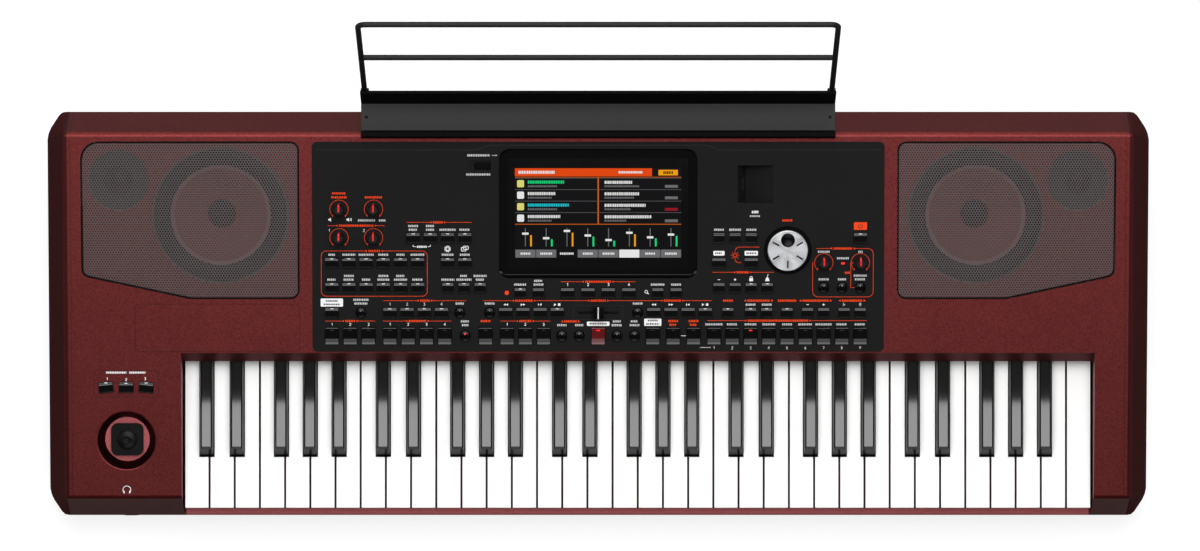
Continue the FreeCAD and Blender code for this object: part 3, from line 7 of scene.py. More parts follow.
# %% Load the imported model
import json
import math
import bmesh
import bpy
import mathutils
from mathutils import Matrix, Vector


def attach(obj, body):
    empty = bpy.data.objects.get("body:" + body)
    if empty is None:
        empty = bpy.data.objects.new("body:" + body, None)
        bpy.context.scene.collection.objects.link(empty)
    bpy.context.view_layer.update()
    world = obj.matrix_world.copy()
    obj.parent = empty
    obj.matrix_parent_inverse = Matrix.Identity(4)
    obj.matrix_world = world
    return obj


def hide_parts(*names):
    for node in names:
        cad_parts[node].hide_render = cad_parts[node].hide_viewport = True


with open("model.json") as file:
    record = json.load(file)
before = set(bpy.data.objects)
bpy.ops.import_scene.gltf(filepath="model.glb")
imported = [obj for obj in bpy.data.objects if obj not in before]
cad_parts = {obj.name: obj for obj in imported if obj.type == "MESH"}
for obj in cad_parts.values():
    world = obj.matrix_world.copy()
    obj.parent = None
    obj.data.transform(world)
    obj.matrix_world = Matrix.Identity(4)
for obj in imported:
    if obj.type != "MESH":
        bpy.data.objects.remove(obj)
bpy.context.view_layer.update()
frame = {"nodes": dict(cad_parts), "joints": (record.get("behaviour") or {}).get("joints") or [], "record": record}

NODES = frame["nodes"]
MM = 0.001

# %% [markdown]
# ## The panel as a drawing board
# Almost everything that can be pressed, turned or read lies on one sloping plane. On the real
# keyboard that plane is a single moulding that the print is screened on. Working in world
# coordinates would put a slope into every sum, so we read the plane once from the dial's axis and
# then draw in millimetres: u to the right, v up from the panel's front edge, w above its face.

# %% Panel coordinates
JOINTS = {joint["name"]: joint for joint in frame["joints"]}
UP = Vector(JOINTS["value_dial_turn"]["axis"]).normalized()
BACK = Vector((0, UP.z, -UP.y))
panel_points = [vertex.co for vertex in NODES["control_panel"].data.vertices]
PANEL_FRONT = min(point.dot(BACK) for point in panel_points)
PANEL_FACE = max(point.dot(UP) for point in panel_points)


def spot(u, v, w=0.0):
    """World point of a place on the panel."""
    return Vector((u * MM, 0, 0)) + BACK * (PANEL_FRONT + v * MM) + UP * (PANEL_FACE + w * MM)


def reading(point):
    """Place on the panel of a world point."""
    return point.x / MM, (point.dot(BACK) - PANEL_FRONT) / MM, (point.dot(UP) - PANEL_FACE) / MM


def readings(node):
    return [reading(vertex.co) for vertex in NODES[node].data.vertices]


CASE_TOP = max(w for u, v, w in readings("top_case"))
print("slope %.2f degrees, case top %.2f mm under the panel face" % (
    math.degrees(math.acos(UP.z)), -CASE_TOP))

# %% [markdown]
# ## One button at a time
# A bank of buttons is one node with many separate mouldings. Labels and lamps belong to single
# buttons, so we split a copy of the mesh into its islands and note the box of each cap. The copy
# is thrown away, and the node itself stays as it was.

# %% Measure the separate caps of a bank
MERGE = 1e-6
FLANGE_LEVEL = CASE_TOP - 0.5   # flanges and stems lie below this


def caps(node):
    """Box (u0, u1, v0, v1, top) of each cap of a bank, from left to right."""
    mesh = bmesh.new()
    mesh.from_mesh(NODES[node].data)
    bmesh.ops.remove_doubles(mesh, verts=mesh.verts, dist=MERGE)
    waiting = set(mesh.verts)
    boxes = []
    while waiting:
        island = [waiting.pop()]
        for vertex in island:
            for edge in vertex.link_edges:
                other = edge.other_vert(vertex)
                if other in waiting:
                    waiting.remove(other)
                    island.append(other)
        places = [reading(vertex.co) for vertex in island]
        us, vs, ws = zip(*[place for place in places if place[2] > FLANGE_LEVEL])
        boxes.append((min(us), max(us), min(vs), max(vs), max(ws)))
    mesh.free()
    return sorted(boxes)


def middle(box):
    return (box[0] + box[1]) / 2, (box[2] + box[3]) / 2


BANKS = [name for name in sorted(NODES) if "button" in name or "switches" in name]
CAPS = {name: caps(name) for name in BANKS}
print({name: len(boxes) for name, boxes in CAPS.items()})

# %% [markdown]
# ## A pile of corners and faces
# Print, lamps and marks are many small flat shapes. Text objects or curves would work, but each
# would need converting and placing. A small collector is easier to follow: it takes outlines in
# panel coordinates, turns them into closed prisms, strips or turned forms, and makes one mesh.

# %% Mesh collector
def arc(u, v, radius, start, end, steps):
    """Points on a circle, angles in degrees, 0 to the right and 90 to the back."""
    angles = [math.radians(start + (end - start) * i / steps) for i in range(steps + 1)]
    return [Vector((u + radius * math.cos(a), v + radius * math.sin(a))) for a in angles]


def disc(u, v, radius, steps=16):
    return arc(u, v, radius, 0, 360, steps)[:-1]


def round_box(u0, u1, v0, v1, radius, steps=4):
    """Rectangle with round corners, against the clock."""
    return (arc(u1 - radius, v1 - radius, radius, 0, 90, steps)
            + arc(u0 + radius, v1 - radius, radius, 90, 180, steps)
            + arc(u0 + radius, v0 + radius, radius, 180, 270, steps)
            + arc(u1 - radius, v0 + radius, radius, 270, 360, steps))


def left_of(step):
    step = step.normalized()
    return Vector((-step.y, step.x))


def drawn_in(outline, distance, closed=True):
    """Path moved to its left, each corner along its bisector."""
    moved = []
    count = len(outline)
    for i, here in enumerate(outline):
        sides = []
        if i or closed:
            sides.append(left_of(here - outline[i - 1]))
        if i + 1 < count or closed:
            sides.append(left_of(outline[(i + 1) % count] - here))
        bisector = sides[0] + sides[-1]
        moved.append(here + bisector * (2 * distance / bisector.length_squared))
    return moved


class Pile:
    """Corners and faces of one piece while it grows."""

    def __init__(self):
        self.points = []
        self.faces = []

    def add(self, points, faces):
        first = len(self.points)
        self.points += points
        self.faces += [[first + corner for corner in face] for face in faces]

    def prism(self, outline, low, high):
        """Flat outline drawn out between two levels."""
        n = len(outline)
        points = [spot(u, v, level) for level in (low, high) for u, v in outline]
        sides = [[i, (i + 1) % n, n + (i + 1) % n, n + i] for i in range(n)]
        self.add(points, [list(reversed(range(n))), list(range(n, 2 * n))] + sides)

    def stroke(self, path, width, low, high, closed=False):
        """Line of even width along a path."""
        path = [Vector(point) for point in path]
        left = drawn_in(path, width / 2, closed)
        right = drawn_in(path, -width / 2, closed)
        n = len(path)
        rails = ((right, low), (left, low), (left, high), (right, high))
        points = [spot(u, v, level) for rail, level in rails for u, v in rail]
        steps = range(n) if closed else range(n - 1)
        faces = []
        for i in steps:
            j = (i + 1) % n
            for k in range(4):
                a, b = k * n, (k + 1) % 4 * n
                faces.append([a + i, b + i, b + j, a + j])
        if not closed:
            faces += [[3 * n, 2 * n, n, 0], [n - 1, 2 * n - 1, 3 * n - 1, 4 * n - 1]]
        self.add(points, faces)

    def turned(self, u, v, profile, steps=16, lean=0.0, stretch=1.0):
        """Profile of (radius, level) turned round an axis that leans back, and stretched along u."""
        base = profile[0][1]
        tilt = math.radians(lean)
        points = []
        for radius, level in profile:
            for i in range(steps):
                turn = math.tau * i / steps
                across = radius * math.sin(turn)
                rise = level - base
                points.append(spot(u + radius * stretch * math.cos(turn),
                                   v + across * math.cos(tilt) + rise * math.sin(tilt),
                                   base + rise * math.cos(tilt) - across * math.sin(tilt)))
        last = (len(profile) - 1) * steps
        faces = [list(reversed(range(steps))), list(range(last, last + steps))]
        for row in range(len(profile) - 1):
            for i in range(steps):
                j = (i + 1) % steps
                faces.append([row * steps + i, row * steps + j, (row + 1) * steps + j, (row + 1) * steps + i])
        self.add(points, faces)

    def piece(self, name, material, body, slot=None, smooth=False):
        """The finished piece, riding on a body."""
        mesh = bpy.data.meshes.new(name)
        mesh.from_pydata(self.points, [], self.faces)
        mesh.materials.append(material)
        mesh.polygons.foreach_set("use_smooth", [smooth] * len(mesh.polygons))
        thing = bpy.data.objects.new(name, mesh)
        bpy.context.scene.collection.objects.link(thing)
        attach(thing, body)
        print(name, len(self.faces), "faces on", body)
        return thing


# %% [markdown]
# ## Shader sums in plain Python
# Node trees are hard to read as long lists of links. Here an output socket is wrapped in a small
# class, so that `1 - mask` or `noise * 0.2` adds its Math node. Every other node comes from one
# method that takes the kind of node, its settings and what goes into its sockets.

# %% Sockets and paints
class Sock:
    """Output socket that takes part in sums."""

    def __init__(self, paint, socket):
        self.paint = paint
        self.socket = socket

    def sum(self, operation, first, second):
        return self.paint.node("Math", {"operation": operation}, {0: first, 1: second})

    def __add__(self, other):
        return self.sum("ADD", self, other)

    def __sub__(self, other):
        return self.sum("SUBTRACT", self, other)

    def __rsub__(self, other):
        return self.sum("SUBTRACT", other, self)

    def __mul__(self, other):
        return self.sum("MULTIPLY", self, other)

    def __truediv__(self, other):
        return self.sum("DIVIDE", self, other)

    def __rtruediv__(self, other):
        return self.sum("DIVIDE", other, self)

    def __pow__(self, other):
        return self.sum("POWER", self, other)

    def __lt__(self, other):
        return self.sum("LESS_THAN", self, other)

    def __gt__(self, other):
        return self.sum("GREATER_THAN", self, other)

    __radd__ = __add__
    __rmul__ = __mul__


class Paint:
    """Material, or another owner of nodes, while its nodes are joined up."""

    def __init__(self, name, owner=None):
        self.material = owner or bpy.data.materials.new(name)
        self.material.use_nodes = True
        self.tree = self.material.node_tree
        self.place = self.node("TexCoord", {}, {}, "Object")

    def node(self, kind, settings, inputs, out=0):
        made = self.tree.nodes.new("ShaderNode" + kind)
        for name, value in settings.items():
            setattr(made, name, value)
        self.feed(made, inputs)
        return Sock(self, made.outputs[out])

    def feed(self, made, inputs):
        for key, value in inputs.items():
            if isinstance(value, Sock):
                self.tree.links.new(value.socket, made.inputs[key])
            else:
                made.inputs[key].default_value = value

    def noise(self, size, detail=2.0):
        """Cloudy value from 0 to 1 with features of a size in millimetres."""
        return self.node("TexNoise", {}, {"Vector": self.place, "Scale": 1 / (size * MM), "Detail": detail})

    def cells(self, size):
        """One random value per cell of a size in millimetres."""
        spots = self.node("TexVoronoi", {}, {"Vector": self.place, "Scale": 1 / (size * MM)}, "Color")
        return self.node("SeparateColor", {}, {0: spots})

    def along(self, axis):
        """Coordinate 0, 1 or 2 of the surface in metres."""
        return self.node("SeparateXYZ", {}, {0: self.place}, axis)

    def distance(self, point):
        """Distance from a fixed point in metres."""
        return self.node("VectorMath", {"operation": "DISTANCE"}, {0: self.place, 1: point}, "Value")

    def off_axis(self, point):
        """Distance in metres from an axis that stands on the panel at a point."""
        away = self.node("VectorMath", {"operation": "SUBTRACT"}, {0: self.place, 1: point})
        above = self.node("VectorMath", {"operation": "DOT_PRODUCT"}, {0: away, 1: UP}, "Value")
        reach = self.node("VectorMath", {"operation": "LENGTH"}, {0: away}, "Value")
        return (reach ** 2 - above ** 2) ** 0.5

    def nearest_axis(self, points):
        left, right = [self.off_axis(point) for point in points]
        return self.node("Math", {"operation": "MINIMUM"}, {0: left, 1: right})

    def off_grid(self, start, pitch):
        """Distance in metres across the object from the nearest line of a grid."""
        return self.node("Math", {"operation": "PINGPONG"}, {0: self.along(0) - start, 1: pitch / 2})

    def mix(self, amount, first, second):
        return self.node("Mix", {"data_type": "RGBA"}, {0: amount, 6: first, 7: second}, 2)

    def over(self, direction):
        """Distance in metres from the origin along a direction."""
        return self.node("VectorMath", {"operation": "DOT_PRODUCT"}, {0: self.place, 1: direction}, "Value")

    def facing(self, direction):
        """How far the surface faces a direction, from -1 to 1."""
        normal = self.node("NewGeometry", {}, {}, "Normal")
        return self.node("VectorMath", {"operation": "DOT_PRODUCT"}, {0: normal, 1: direction}, "Value")

    def bump(self, height, depth):
        """Normal of a relief whose full height is a depth in millimetres."""
        return self.node("Bump", {}, {"Height": height, "Distance": depth * MM})

    def surface(self, inputs):
        self.feed(self.tree.nodes["Principled BSDF"], inputs)
        return self.material


def colour(red, green, blue):
    """Screen colour of 0 to 255 as the linear colour that sockets take."""
    def linear(value):
        value /= 255
        return value / 12.92 if value <= 0.04045 else ((value + 0.055) / 1.055) ** 2.4
    return linear(red), linear(green), linear(blue), 1.0


def shade(base, factor):
    """Colour made darker or lighter by a factor."""
    return tuple(value * factor for value in base[:3]) + (1.0,)


print("a mid red is", [round(value, 3) for value in colour(95, 40, 40)])

# %% [markdown]
# ## Paint of the shells
# The upper shell is sprayed in a dark metallic red: aluminium flakes under a tinted clear coat.
# An image of flakes would show its pixels in a close view, so Voronoi cells stand for the flakes.
# Each cell gets its own brightness and gloss, and a second, larger grain gives the speckle that
# the eye sees from a step away. The floor of the joystick's dish and the rail in front of the keys
# get a lighter red as a painted highlight, the dish's wall and the front slopes a darker red as
# painted shade. The end cheeks carry the same red in a much darker, satin coat, which runs over the
# last millimetres of the shell, and a painted shadow line beside it stands for a fine groove.

# %% Metallic paint
STICK_U, STICK_V = reading(Vector(JOINTS["joystick_sideways"]["pos_m"]))[:2]
DISH_R = 27.2
DISH_FLOOR_R = 20.75
DISH_FLOOR = CASE_TOP - 11.5    # only the floor of the dish lies below this
DISH_WALL = CASE_TOP - 0.5
RAIL_LEVEL = CASE_TOP - 38.0    # only the rail lies below this in front of the keys
key_row = [point for name in NODES if name.endswith("_keys") for point in readings(name)]
KEYS_LEFT = min(u for u, v, w in key_row)
KEYS_RIGHT = max(u for u, v, w in key_row)
FORWARD = Vector((0, -1, 0))
CHEEK_IN = 493.6        # the dark coat of the ends begins here
# A painted shadow line stands here for the groove beside the cheeks.
GROOVE_IN = 490.1
GROOVE_W = 0.6


def painted_highlight_faces(paint):
    """Mask of the dish floor and of the rail before the keys, where a painted highlight lightens the red."""
    depth = paint.over(UP)
    dish = paint.off_axis(spot(STICK_U, STICK_V)) < DISH_FLOOR_R * MM
    dish = dish * (depth < PANEL_FACE + DISH_FLOOR * MM)
    between = (paint.along(0) > KEYS_LEFT * MM) * (paint.along(0) < KEYS_RIGHT * MM)
    front = (paint.over(BACK) < PANEL_FRONT) * (depth < PANEL_FACE + RAIL_LEVEL * MM)
    return dish + between * front


def dish_wall_painted_shade(paint):
    """Mask of everything inside the joystick's dish, whose darker red is painted shade."""
    inside = paint.off_axis(spot(STICK_U, STICK_V)) < DISH_R * MM
    return inside * (paint.over(UP) < PANEL_FACE + DISH_WALL * MM)


# Faces turned forward, whose darker red is painted shade.
def front_slopes_painted_shade(paint):
    return paint.facing(FORWARD) > 0.3


def dark_ends_and_shadow_line(paint):
    """Mask of the shell's outermost strips in the cheeks' coat and, more faintly, of a painted shadow line beside
    them.
    """
    across = paint.along(0) ** 2
    painted_shadow_line = (across > (GROOVE_IN * MM) ** 2) * (across < ((GROOVE_IN + GROOVE_W) * MM) ** 2)
    return (across > (CHEEK_IN * MM) ** 2) + painted_shadow_line * 0.6


def flake_paint(name, deep, bright, metallic, gloss, shine, zones=()):
    """Sprayed flakes. A zone is a mask and the two colours that its flakes lie between."""
    paint = Paint(name)
    flake = paint.cells(0.35)
    sparkle = flake * 0.45 + paint.cells(0.8) * 0.4 + paint.noise(60) * 0.15
    tint = paint.mix(sparkle, deep, bright)
    for mask, low, high in zones:
        tint = paint.mix(mask(paint), tint, paint.mix(sparkle, low, high))
    return paint.surface({"Base Color": tint, "Metallic": metallic, "Roughness": gloss + flake * 0.12,
                          "Specular IOR Level": shine, "Specular Tint": colour(250, 232, 232),
                          "Normal": paint.bump(flake, 0.012)})


# Zones of the red: painted shade, a painted highlight, and the cheeks' own darker coat.
CASE_SHADE_AND_COAT_ZONES = [(front_slopes_painted_shade, colour(40, 8, 8), colour(78, 20, 20)),
              (dish_wall_painted_shade, colour(30, 7, 7), colour(48, 13, 13)),
              (painted_highlight_faces, colour(160, 80, 82), colour(200, 112, 114)),
              (dark_ends_and_shadow_line, colour(46, 16, 16), colour(64, 25, 25))]
CASE_RED = flake_paint("case_red_flake", colour(62, 21, 21), colour(118, 51, 50), 0.8, 0.3, 0.1, CASE_SHADE_AND_COAT_ZONES)
CHEEK_RED = flake_paint("cheek_dark_red", colour(46, 15, 15), colour(66, 25, 25), 0.0, 0.6, 0.02)
print("two flake paints")

# %% [markdown]
# ## Moulded plastics
# Panel, buttons, knobs and sockets are black plastics that differ in their grain. A spark-eroded
# mould leaves fine pits, a polished mould none, and soft-touch lacquer is matt and even. One
# function with the size and depth of the grain covers them all, with a faint cloud of wear that
# changes the gloss, because no touched plastic shines evenly.

# %% Plastics by grain
def moulded(name, base, roughness, grain=0.35, depth=0.01, wear=0.08, shine=0.5):
    paint = Paint(name)
    pits = paint.noise(grain, 3)
    rubbed = paint.noise(22, 4)
    lighter = tuple(min(1.0, value * 1.25 + 0.002) for value in base[:3]) + (1.0,)
    return paint.surface({"Base Color": paint.mix(pits * 0.6 + rubbed * 0.4, base, lighter),
                          "Roughness": roughness + (rubbed - 0.5) * wear, "Specular IOR Level": shine,
                          "Normal": paint.bump(pits, depth)})


PANEL_BLACK = moulded("panel_matt_black", colour(20, 20, 20), 0.62, 0.3, 0.012, 0.08, 0.05)
BUTTON_BLACK = moulded("button_satin_black", colour(3, 3, 3), 0.07, 0.2, 0.0004, 0.03, 0.5)
DOME_BLACK = moulded("round_button_black", colour(3, 3, 3), 0.08, 0.2, 0.0004, 0.03, 0.17)
KNOB_BLACK = moulded("knob_soft_touch", colour(8, 8, 8), 0.4, 0.25, 0.004, 0.08, 0.15)
SOCKET_BLACK = moulded("socket_smooth_black", colour(24, 24, 24), 0.4, 0.5, 0.003)
BOTTOM_DARK = moulded("bottom_textured_shell", colour(34, 24, 24), 0.6, 0.5, 0.03, 0.08, 0.2)
RUBBER = moulded("foot_rubber", colour(10, 10, 10), 0.8, 0.6, 0.02, 0.12, 0.15)
STICK_BLACK = moulded("stick_matt_black", colour(8, 8, 8), 0.42, 0.3, 0.006, 0.08, 0.15)
PIANO_BLACK = moulded("display_piano_black", colour(6, 6, 6), 0.05, 0.8, 0.0002, 0.02, 0.15)
START_RED = moulded("start_button_dark_red", colour(84, 14, 16), 0.14, 0.2, 0.001, 0.04, 0.5)
LEDGE_T = 3.0
UPRIGHT = Vector((0, 0, 1))


def stand_paint():
    """Black moulding whose upward ledge gets a painted grey sheen."""
    tray = [vertex.co for vertex in NODES["music_stand_tray"].data.vertices]
    low = min(tray, key=lambda point: point.y).z
    paint = Paint("stand_textured_black")
    pits = paint.noise(0.45, 3)
    # Painted sheen: the upward face of the ledge is lighter grey than the rest.
    ledge = (paint.along(2) < low + LEDGE_T * MM + MM) * (paint.facing(UPRIGHT) > 0.9)
    tone = paint.mix(ledge, colour(7, 7, 7), paint.mix(pits, colour(44, 44, 44), colour(68, 68, 68)))
    return paint.surface({"Base Color": tone, "Roughness": 0.5 + pits * 0.1, "Specular IOR Level": 0.03,
                          "Normal": paint.bump(pits, 0.02)})


STAND_BLACK = stand_paint()
print("eleven plastics")

# %% [markdown]
# ## Keys
# White keys are polished acrylic over a moulding: very even, with a soft gloss. Their flanks and the
# last half millimetre at the rounded edges are dull, and a dark red painted shade on them makes the
# seams look dark. A grid at the pitch of the keys finds these edges. Black keys are polished so well
# that they mirror a lamp with a clear edge. Finger wear only changes the gloss.

# %% Key plastics
SIDEWAYS = Vector((1, 0, 0))
KEY_GAP = 1.0 * MM
KEY_ENDS = [vertex.co.x for vertex in NODES["c_keys"].data.vertices]
KEY_START = min(KEY_ENDS) - KEY_GAP / 2
KEY_PITCH = (max(KEY_ENDS) - min(KEY_ENDS) + KEY_GAP) / 36


def key_plastic(name, base, flank, roughness, polish, seam):
    paint = Paint(name)
    rubbed = paint.noise(35, 3)
    side = paint.facing(SIDEWAYS) ** 2 > 0.1
    nose = paint.facing(FORWARD) > 0.2
    # Sides and seam edges take the flank colour: painted shade of the slits between the keys.
    polished = (1 - side) * (paint.off_grid(KEY_START, KEY_PITCH) > seam * MM)
    top = paint.mix(rubbed, shade(base, 0.97), base)
    return paint.surface({"Base Color": paint.mix(polished, flank, top), "Specular IOR Level": 0.05,
                          "Roughness": roughness + rubbed * 0.04, "Coat Roughness": 0.03,
                          "Coat Weight": polished * (1 - nose * 0.7) * polish})


# For the white keys the dark red flank colour is painted shade.
KEY_WHITE = key_plastic("key_polished_white", colour(252, 252, 251), colour(50, 19, 19), 0.3, 0.05, 1.0)
KEY_BLACK = key_plastic("key_polished_black", colour(8, 8, 8), colour(6, 6, 6), 0.3, 1.0, -1.0)
print("two key plastics, seams every %.2f mm" % (KEY_PITCH / MM))

# %% [markdown]
# ## Metals, paper and boards
# The grilles are punched steel in dark grey lacquer. The cones are pressed paper in the red of
# the case with a black rubber surround and dust cap, which the eye finds through the holes. The
# dial is turned aluminium: its fine rings come from a wave of the distance to its axis.

# %% Loudspeaker and metal finishes
def lacquer(name, base, roughness):
    paint = Paint(name)
    peel = paint.noise(0.8)
    return paint.surface({"Base Color": paint.mix(peel, base, shade(base, 1.3)),
                          "Metallic": 0.2, "Roughness": roughness + peel * 0.1,
                          "Normal": paint.bump(peel, 0.006)})


def steel(name, base, roughness):
    paint = Paint(name)
    streak = paint.noise(1.5, 4)
    return paint.surface({"Base Color": paint.mix(streak, base, colour(205, 206, 210)), "Metallic": 1.0,
                          "Roughness": roughness + streak * 0.15})


def cone_paint(centres, cap, edge, surround):
    """Red paper with a paler edge, between a black dust cap and a black surround, for both woofers."""
    paint = Paint("woofer_paper_and_rubber")
    radius = paint.nearest_axis(centres)
    black = (radius < cap) + (radius > surround)
    fibre = paint.noise(1.2, 4)
    paper = paint.mix(fibre, colour(104, 50, 50), colour(134, 70, 68))
    paper = paint.mix(radius > edge, paper, colour(128, 92, 92))
    return paint.surface({"Base Color": paint.mix(black, paper, colour(7, 7, 7)),
                          "Roughness": 0.75 - black * 0.25, "Specular IOR Level": 0.2,
                          "Normal": paint.bump(fibre, 0.05)})


def tweeter_paint(centres, dome):
    """Dark lacquered plate with a black dome."""
    paint = Paint("tweeter_plate_and_dome")
    inner = paint.nearest_axis(centres) < dome
    peel = paint.noise(0.8)
    plate_tone = paint.mix(peel, colour(28, 28, 28), colour(36, 36, 36))
    return paint.surface({"Base Color": paint.mix(inner, plate_tone, colour(10, 10, 10)),
                          "Roughness": 0.5 - inner * 0.1, "Specular IOR Level": 0.3,
                          "Normal": paint.bump(peel, 0.006)})


def board_paint():
    paint = Paint("board_solder_mask")
    tracks = paint.cells(4)
    return paint.surface({"Base Color": paint.mix(tracks * 0.5, colour(14, 60, 30), colour(34, 96, 50)),
                          "Roughness": 0.35})


GRILLE_GREY = lacquer("grille_grey_lacquer", colour(79, 71, 71), 0.5)
# Near black rim: painted shadow of the gap round each grille.
RIM_PAINTED_SHADOW = moulded("grille_rim_rubber", colour(10, 8, 8), 0.7, 0.3, 0.01, 0.08, 0.05)
SPEAKER_BLACK = lacquer("speaker_black_lacquer", colour(38, 38, 38), 0.45)
# Dark red on the keybed is painted shade of the gaps between the keys.
KEYBED_PAINTED_SHADE = lacquer("keybed_dark_red_paint", colour(50, 18, 18), 0.6)
STAND_WIRE = moulded("stand_wire_powder_coat", colour(10, 10, 10), 0.5, 0.4, 0.01, 0.08, 0.25)
STEEL = steel("zinc_plated_steel", colour(170, 172, 176), 0.3)
BOARD_GREEN = board_paint()
print("metals and boards")

# %% Woofer cones and the turned dial
def pair_centres(node):
    """Middles of a node's left and right piece."""
    centres = []
    for side in (-1, 1):
        us, vs, ws = zip(*[place for place in readings(node) if place[0] * side > 0])
        centres.append(spot((min(us) + max(us)) / 2, (min(vs) + max(vs)) / 2))
    return centres


CONE_RED = cone_paint(pair_centres("woofer_cones"), 0.0132, 0.043, 0.0465)
TWEETER_BLACK = tweeter_paint(pair_centres("tweeters"), 0.0138)

dial_u, dial_v = reading(Vector(JOINTS["value_dial_turn"]["pos_m"]))[:2]
dial_points = readings("value_dial")
DIAL_TOP = max(w for u, v, w in dial_points)
DIAL_R = max(u for u, v, w in dial_points) - dial_u
DIMPLE_OFFSET = 9.8
DIMPLE_R = 6.5


def dial_paint():
    """Turned rings on bright metal, and a black finger dimple."""
    paint = Paint("dial_turned_aluminium")
    dimple = paint.distance(spot(dial_u, dial_v + DIMPLE_OFFSET, DIAL_TOP)) < DIMPLE_R * MM
    radius = paint.distance(spot(dial_u, dial_v, DIAL_TOP))
    rings = paint.node("Math", {"operation": "SINE"}, {0: radius * (math.tau / (0.45 * MM))})
    metal = paint.mix(rings * 0.5 + 0.5, colour(206, 207, 210), colour(236, 237, 240))
    return paint.surface({"Base Color": paint.mix(dimple, metal, colour(8, 8, 8)), "Metallic": 1 - dimple,
                          "Roughness": 0.3 - dimple * 0.1, "Specular IOR Level": 0.1,
                          "Normal": paint.bump(rings * (1 - dimple), 0.06)})


DIAL_METAL = dial_paint()
print("dial radius %.1f" % DIAL_R)

# %% [markdown]
# ## Every solid gets its finish
# The record already says which slot each node takes its material from. A table from slot to
# finish is therefore all that is needed. A few solids are named because they differ from their
# slot, such as the tweeters, the blackened hinge pins and the keybed between the keys, whose dark
# red is painted shade of the gaps.

# %% Glass and the table of finishes
def glass_paint():
    paint = Paint("display_touch_glass")
    smear = paint.noise(18, 5)
    return paint.surface({"Base Color": paint.mix(smear, colour(9, 9, 10), colour(12, 12, 13)),
                          "Roughness": 0.05 + smear * 0.03, "Specular IOR Level": 0.3})


FINISH = {
    "case_paint": CASE_RED, "cheek_paint": CHEEK_RED, "bottom_shell": BOTTOM_DARK,
    "panel_plastic": PANEL_BLACK, "grille_metal": GRILLE_GREY, "speaker_metal": SPEAKER_BLACK,
    "cone_paper": CONE_RED, "bare_steel": STEEL, "board": BOARD_GREEN, "socket_plastic": SOCKET_BLACK,
    "foot_rubber": RUBBER, "stick_plastic": STICK_BLACK, "display_plastic": PIANO_BLACK,
    "display_glass": glass_paint(), "button_plastic": BUTTON_BLACK, "start_plastic": START_RED,
    "knob_plastic": KNOB_BLACK, "dial_metal": DIAL_METAL, "key_white": KEY_WHITE,
    "key_black": KEY_BLACK, "stand_plastic": STAND_BLACK, "stand_wire": STAND_WIRE,
}
for part in frame["record"]["subparts"]:
    thing = NODES[part["node"]]
    if not thing.material_slots:
        thing.data.materials.append(None)
    for material_slot in thing.material_slots:
        material_slot.material = FINISH[part["material_slot"]]
BY_NAME = {"tweeters": TWEETER_BLACK, "display_hinge_pins": SPEAKER_BLACK, "keybed_frame": KEYBED_PAINTED_SHADE,
           "display_lock_slider": PIANO_BLACK, "panel_board": SPEAKER_BLACK, "round_buttons": DOME_BLACK,
           "crossfader_cap": DOME_BLACK}
for name, material in BY_NAME.items():
    NODES[name].material_slots[0].material = material
print(len(FINISH), "finishes on", len(NODES), "solids")

# %% [markdown]
# ## Softer edges
# Moulded pieces never have knife edges, and a fine rounding is what catches the light. The solids
# keep their corners sharp, so modifiers do the rounding: weld the seams that the file format cut,
# join flat triangles into whole faces, bevel what is sharp and let flat faces keep flat normals.

# %% Bevels as modifiers
def soften(node, width, segments=2):
    stack = NODES[node].modifiers
    stack.new("weld", "WELD").merge_threshold = MERGE
    whole = stack.new("whole_faces", "DECIMATE")
    whole.decimate_type = "DISSOLVE"
    whole.angle_limit = math.radians(1)
    edge = stack.new("edge", "BEVEL")
    edge.width = width * MM
    edge.segments = segments
    edge.limit_method = "ANGLE"
    edge.angle_limit = math.radians(25)
    stack.new("flat_normals", "WEIGHTED_NORMAL")


EDGES = {"_keys": 0.5, "_buttons": 0.25, "_button": 0.25, "_switches": 0.25, "crossfader_cap": 0.4,
         "display_lock_slider": 0.2, "music_stand_tray": 0.6}
softened = []
for name in sorted(NODES):
    for ending, width in EDGES.items():
        if name.endswith(ending):
            soften(name, width)
            softened.append(name)
print("softened", len(softened), "solids")

# %% [markdown]
# ## Punched grilles
# Each loudspeaker sits behind a steel sheet with thousands of small holes. A picture of holes
# would be flat from the side, so the sheet is real: a honeycomb of cells, each with a six-sided
# hole, its walls and its underside. The rim is one profile carried round the plan of the solid,
# and it hides the jagged edge of the honeycomb. Its near black colour is painted shadow of the
# gap round the grille.

# %% Perforated sheet and rim
HOLE_PITCH = 2.5
HOLE_R = 1.05
SHEET_T = 0.7
RIM_W = 1.4


def plan_of(node):
    """Hull of a convex node in plan, against the clock."""
    flat = sorted({(round(u, 2), round(v, 2)) for u, v, w in readings(node)})
    hull = [Vector(flat[i]) for i in mathutils.geometry.convex_hull_2d(flat)]
    area = sum(a.cross(b) for a, b in zip(hull, hull[1:] + hull[:1]))
    return hull if area > 0 else hull[::-1]


def inside(point, outline):
    return all((b - a).cross(point - a) > 0 for a, b in zip(outline, outline[1:] + outline[:1]))


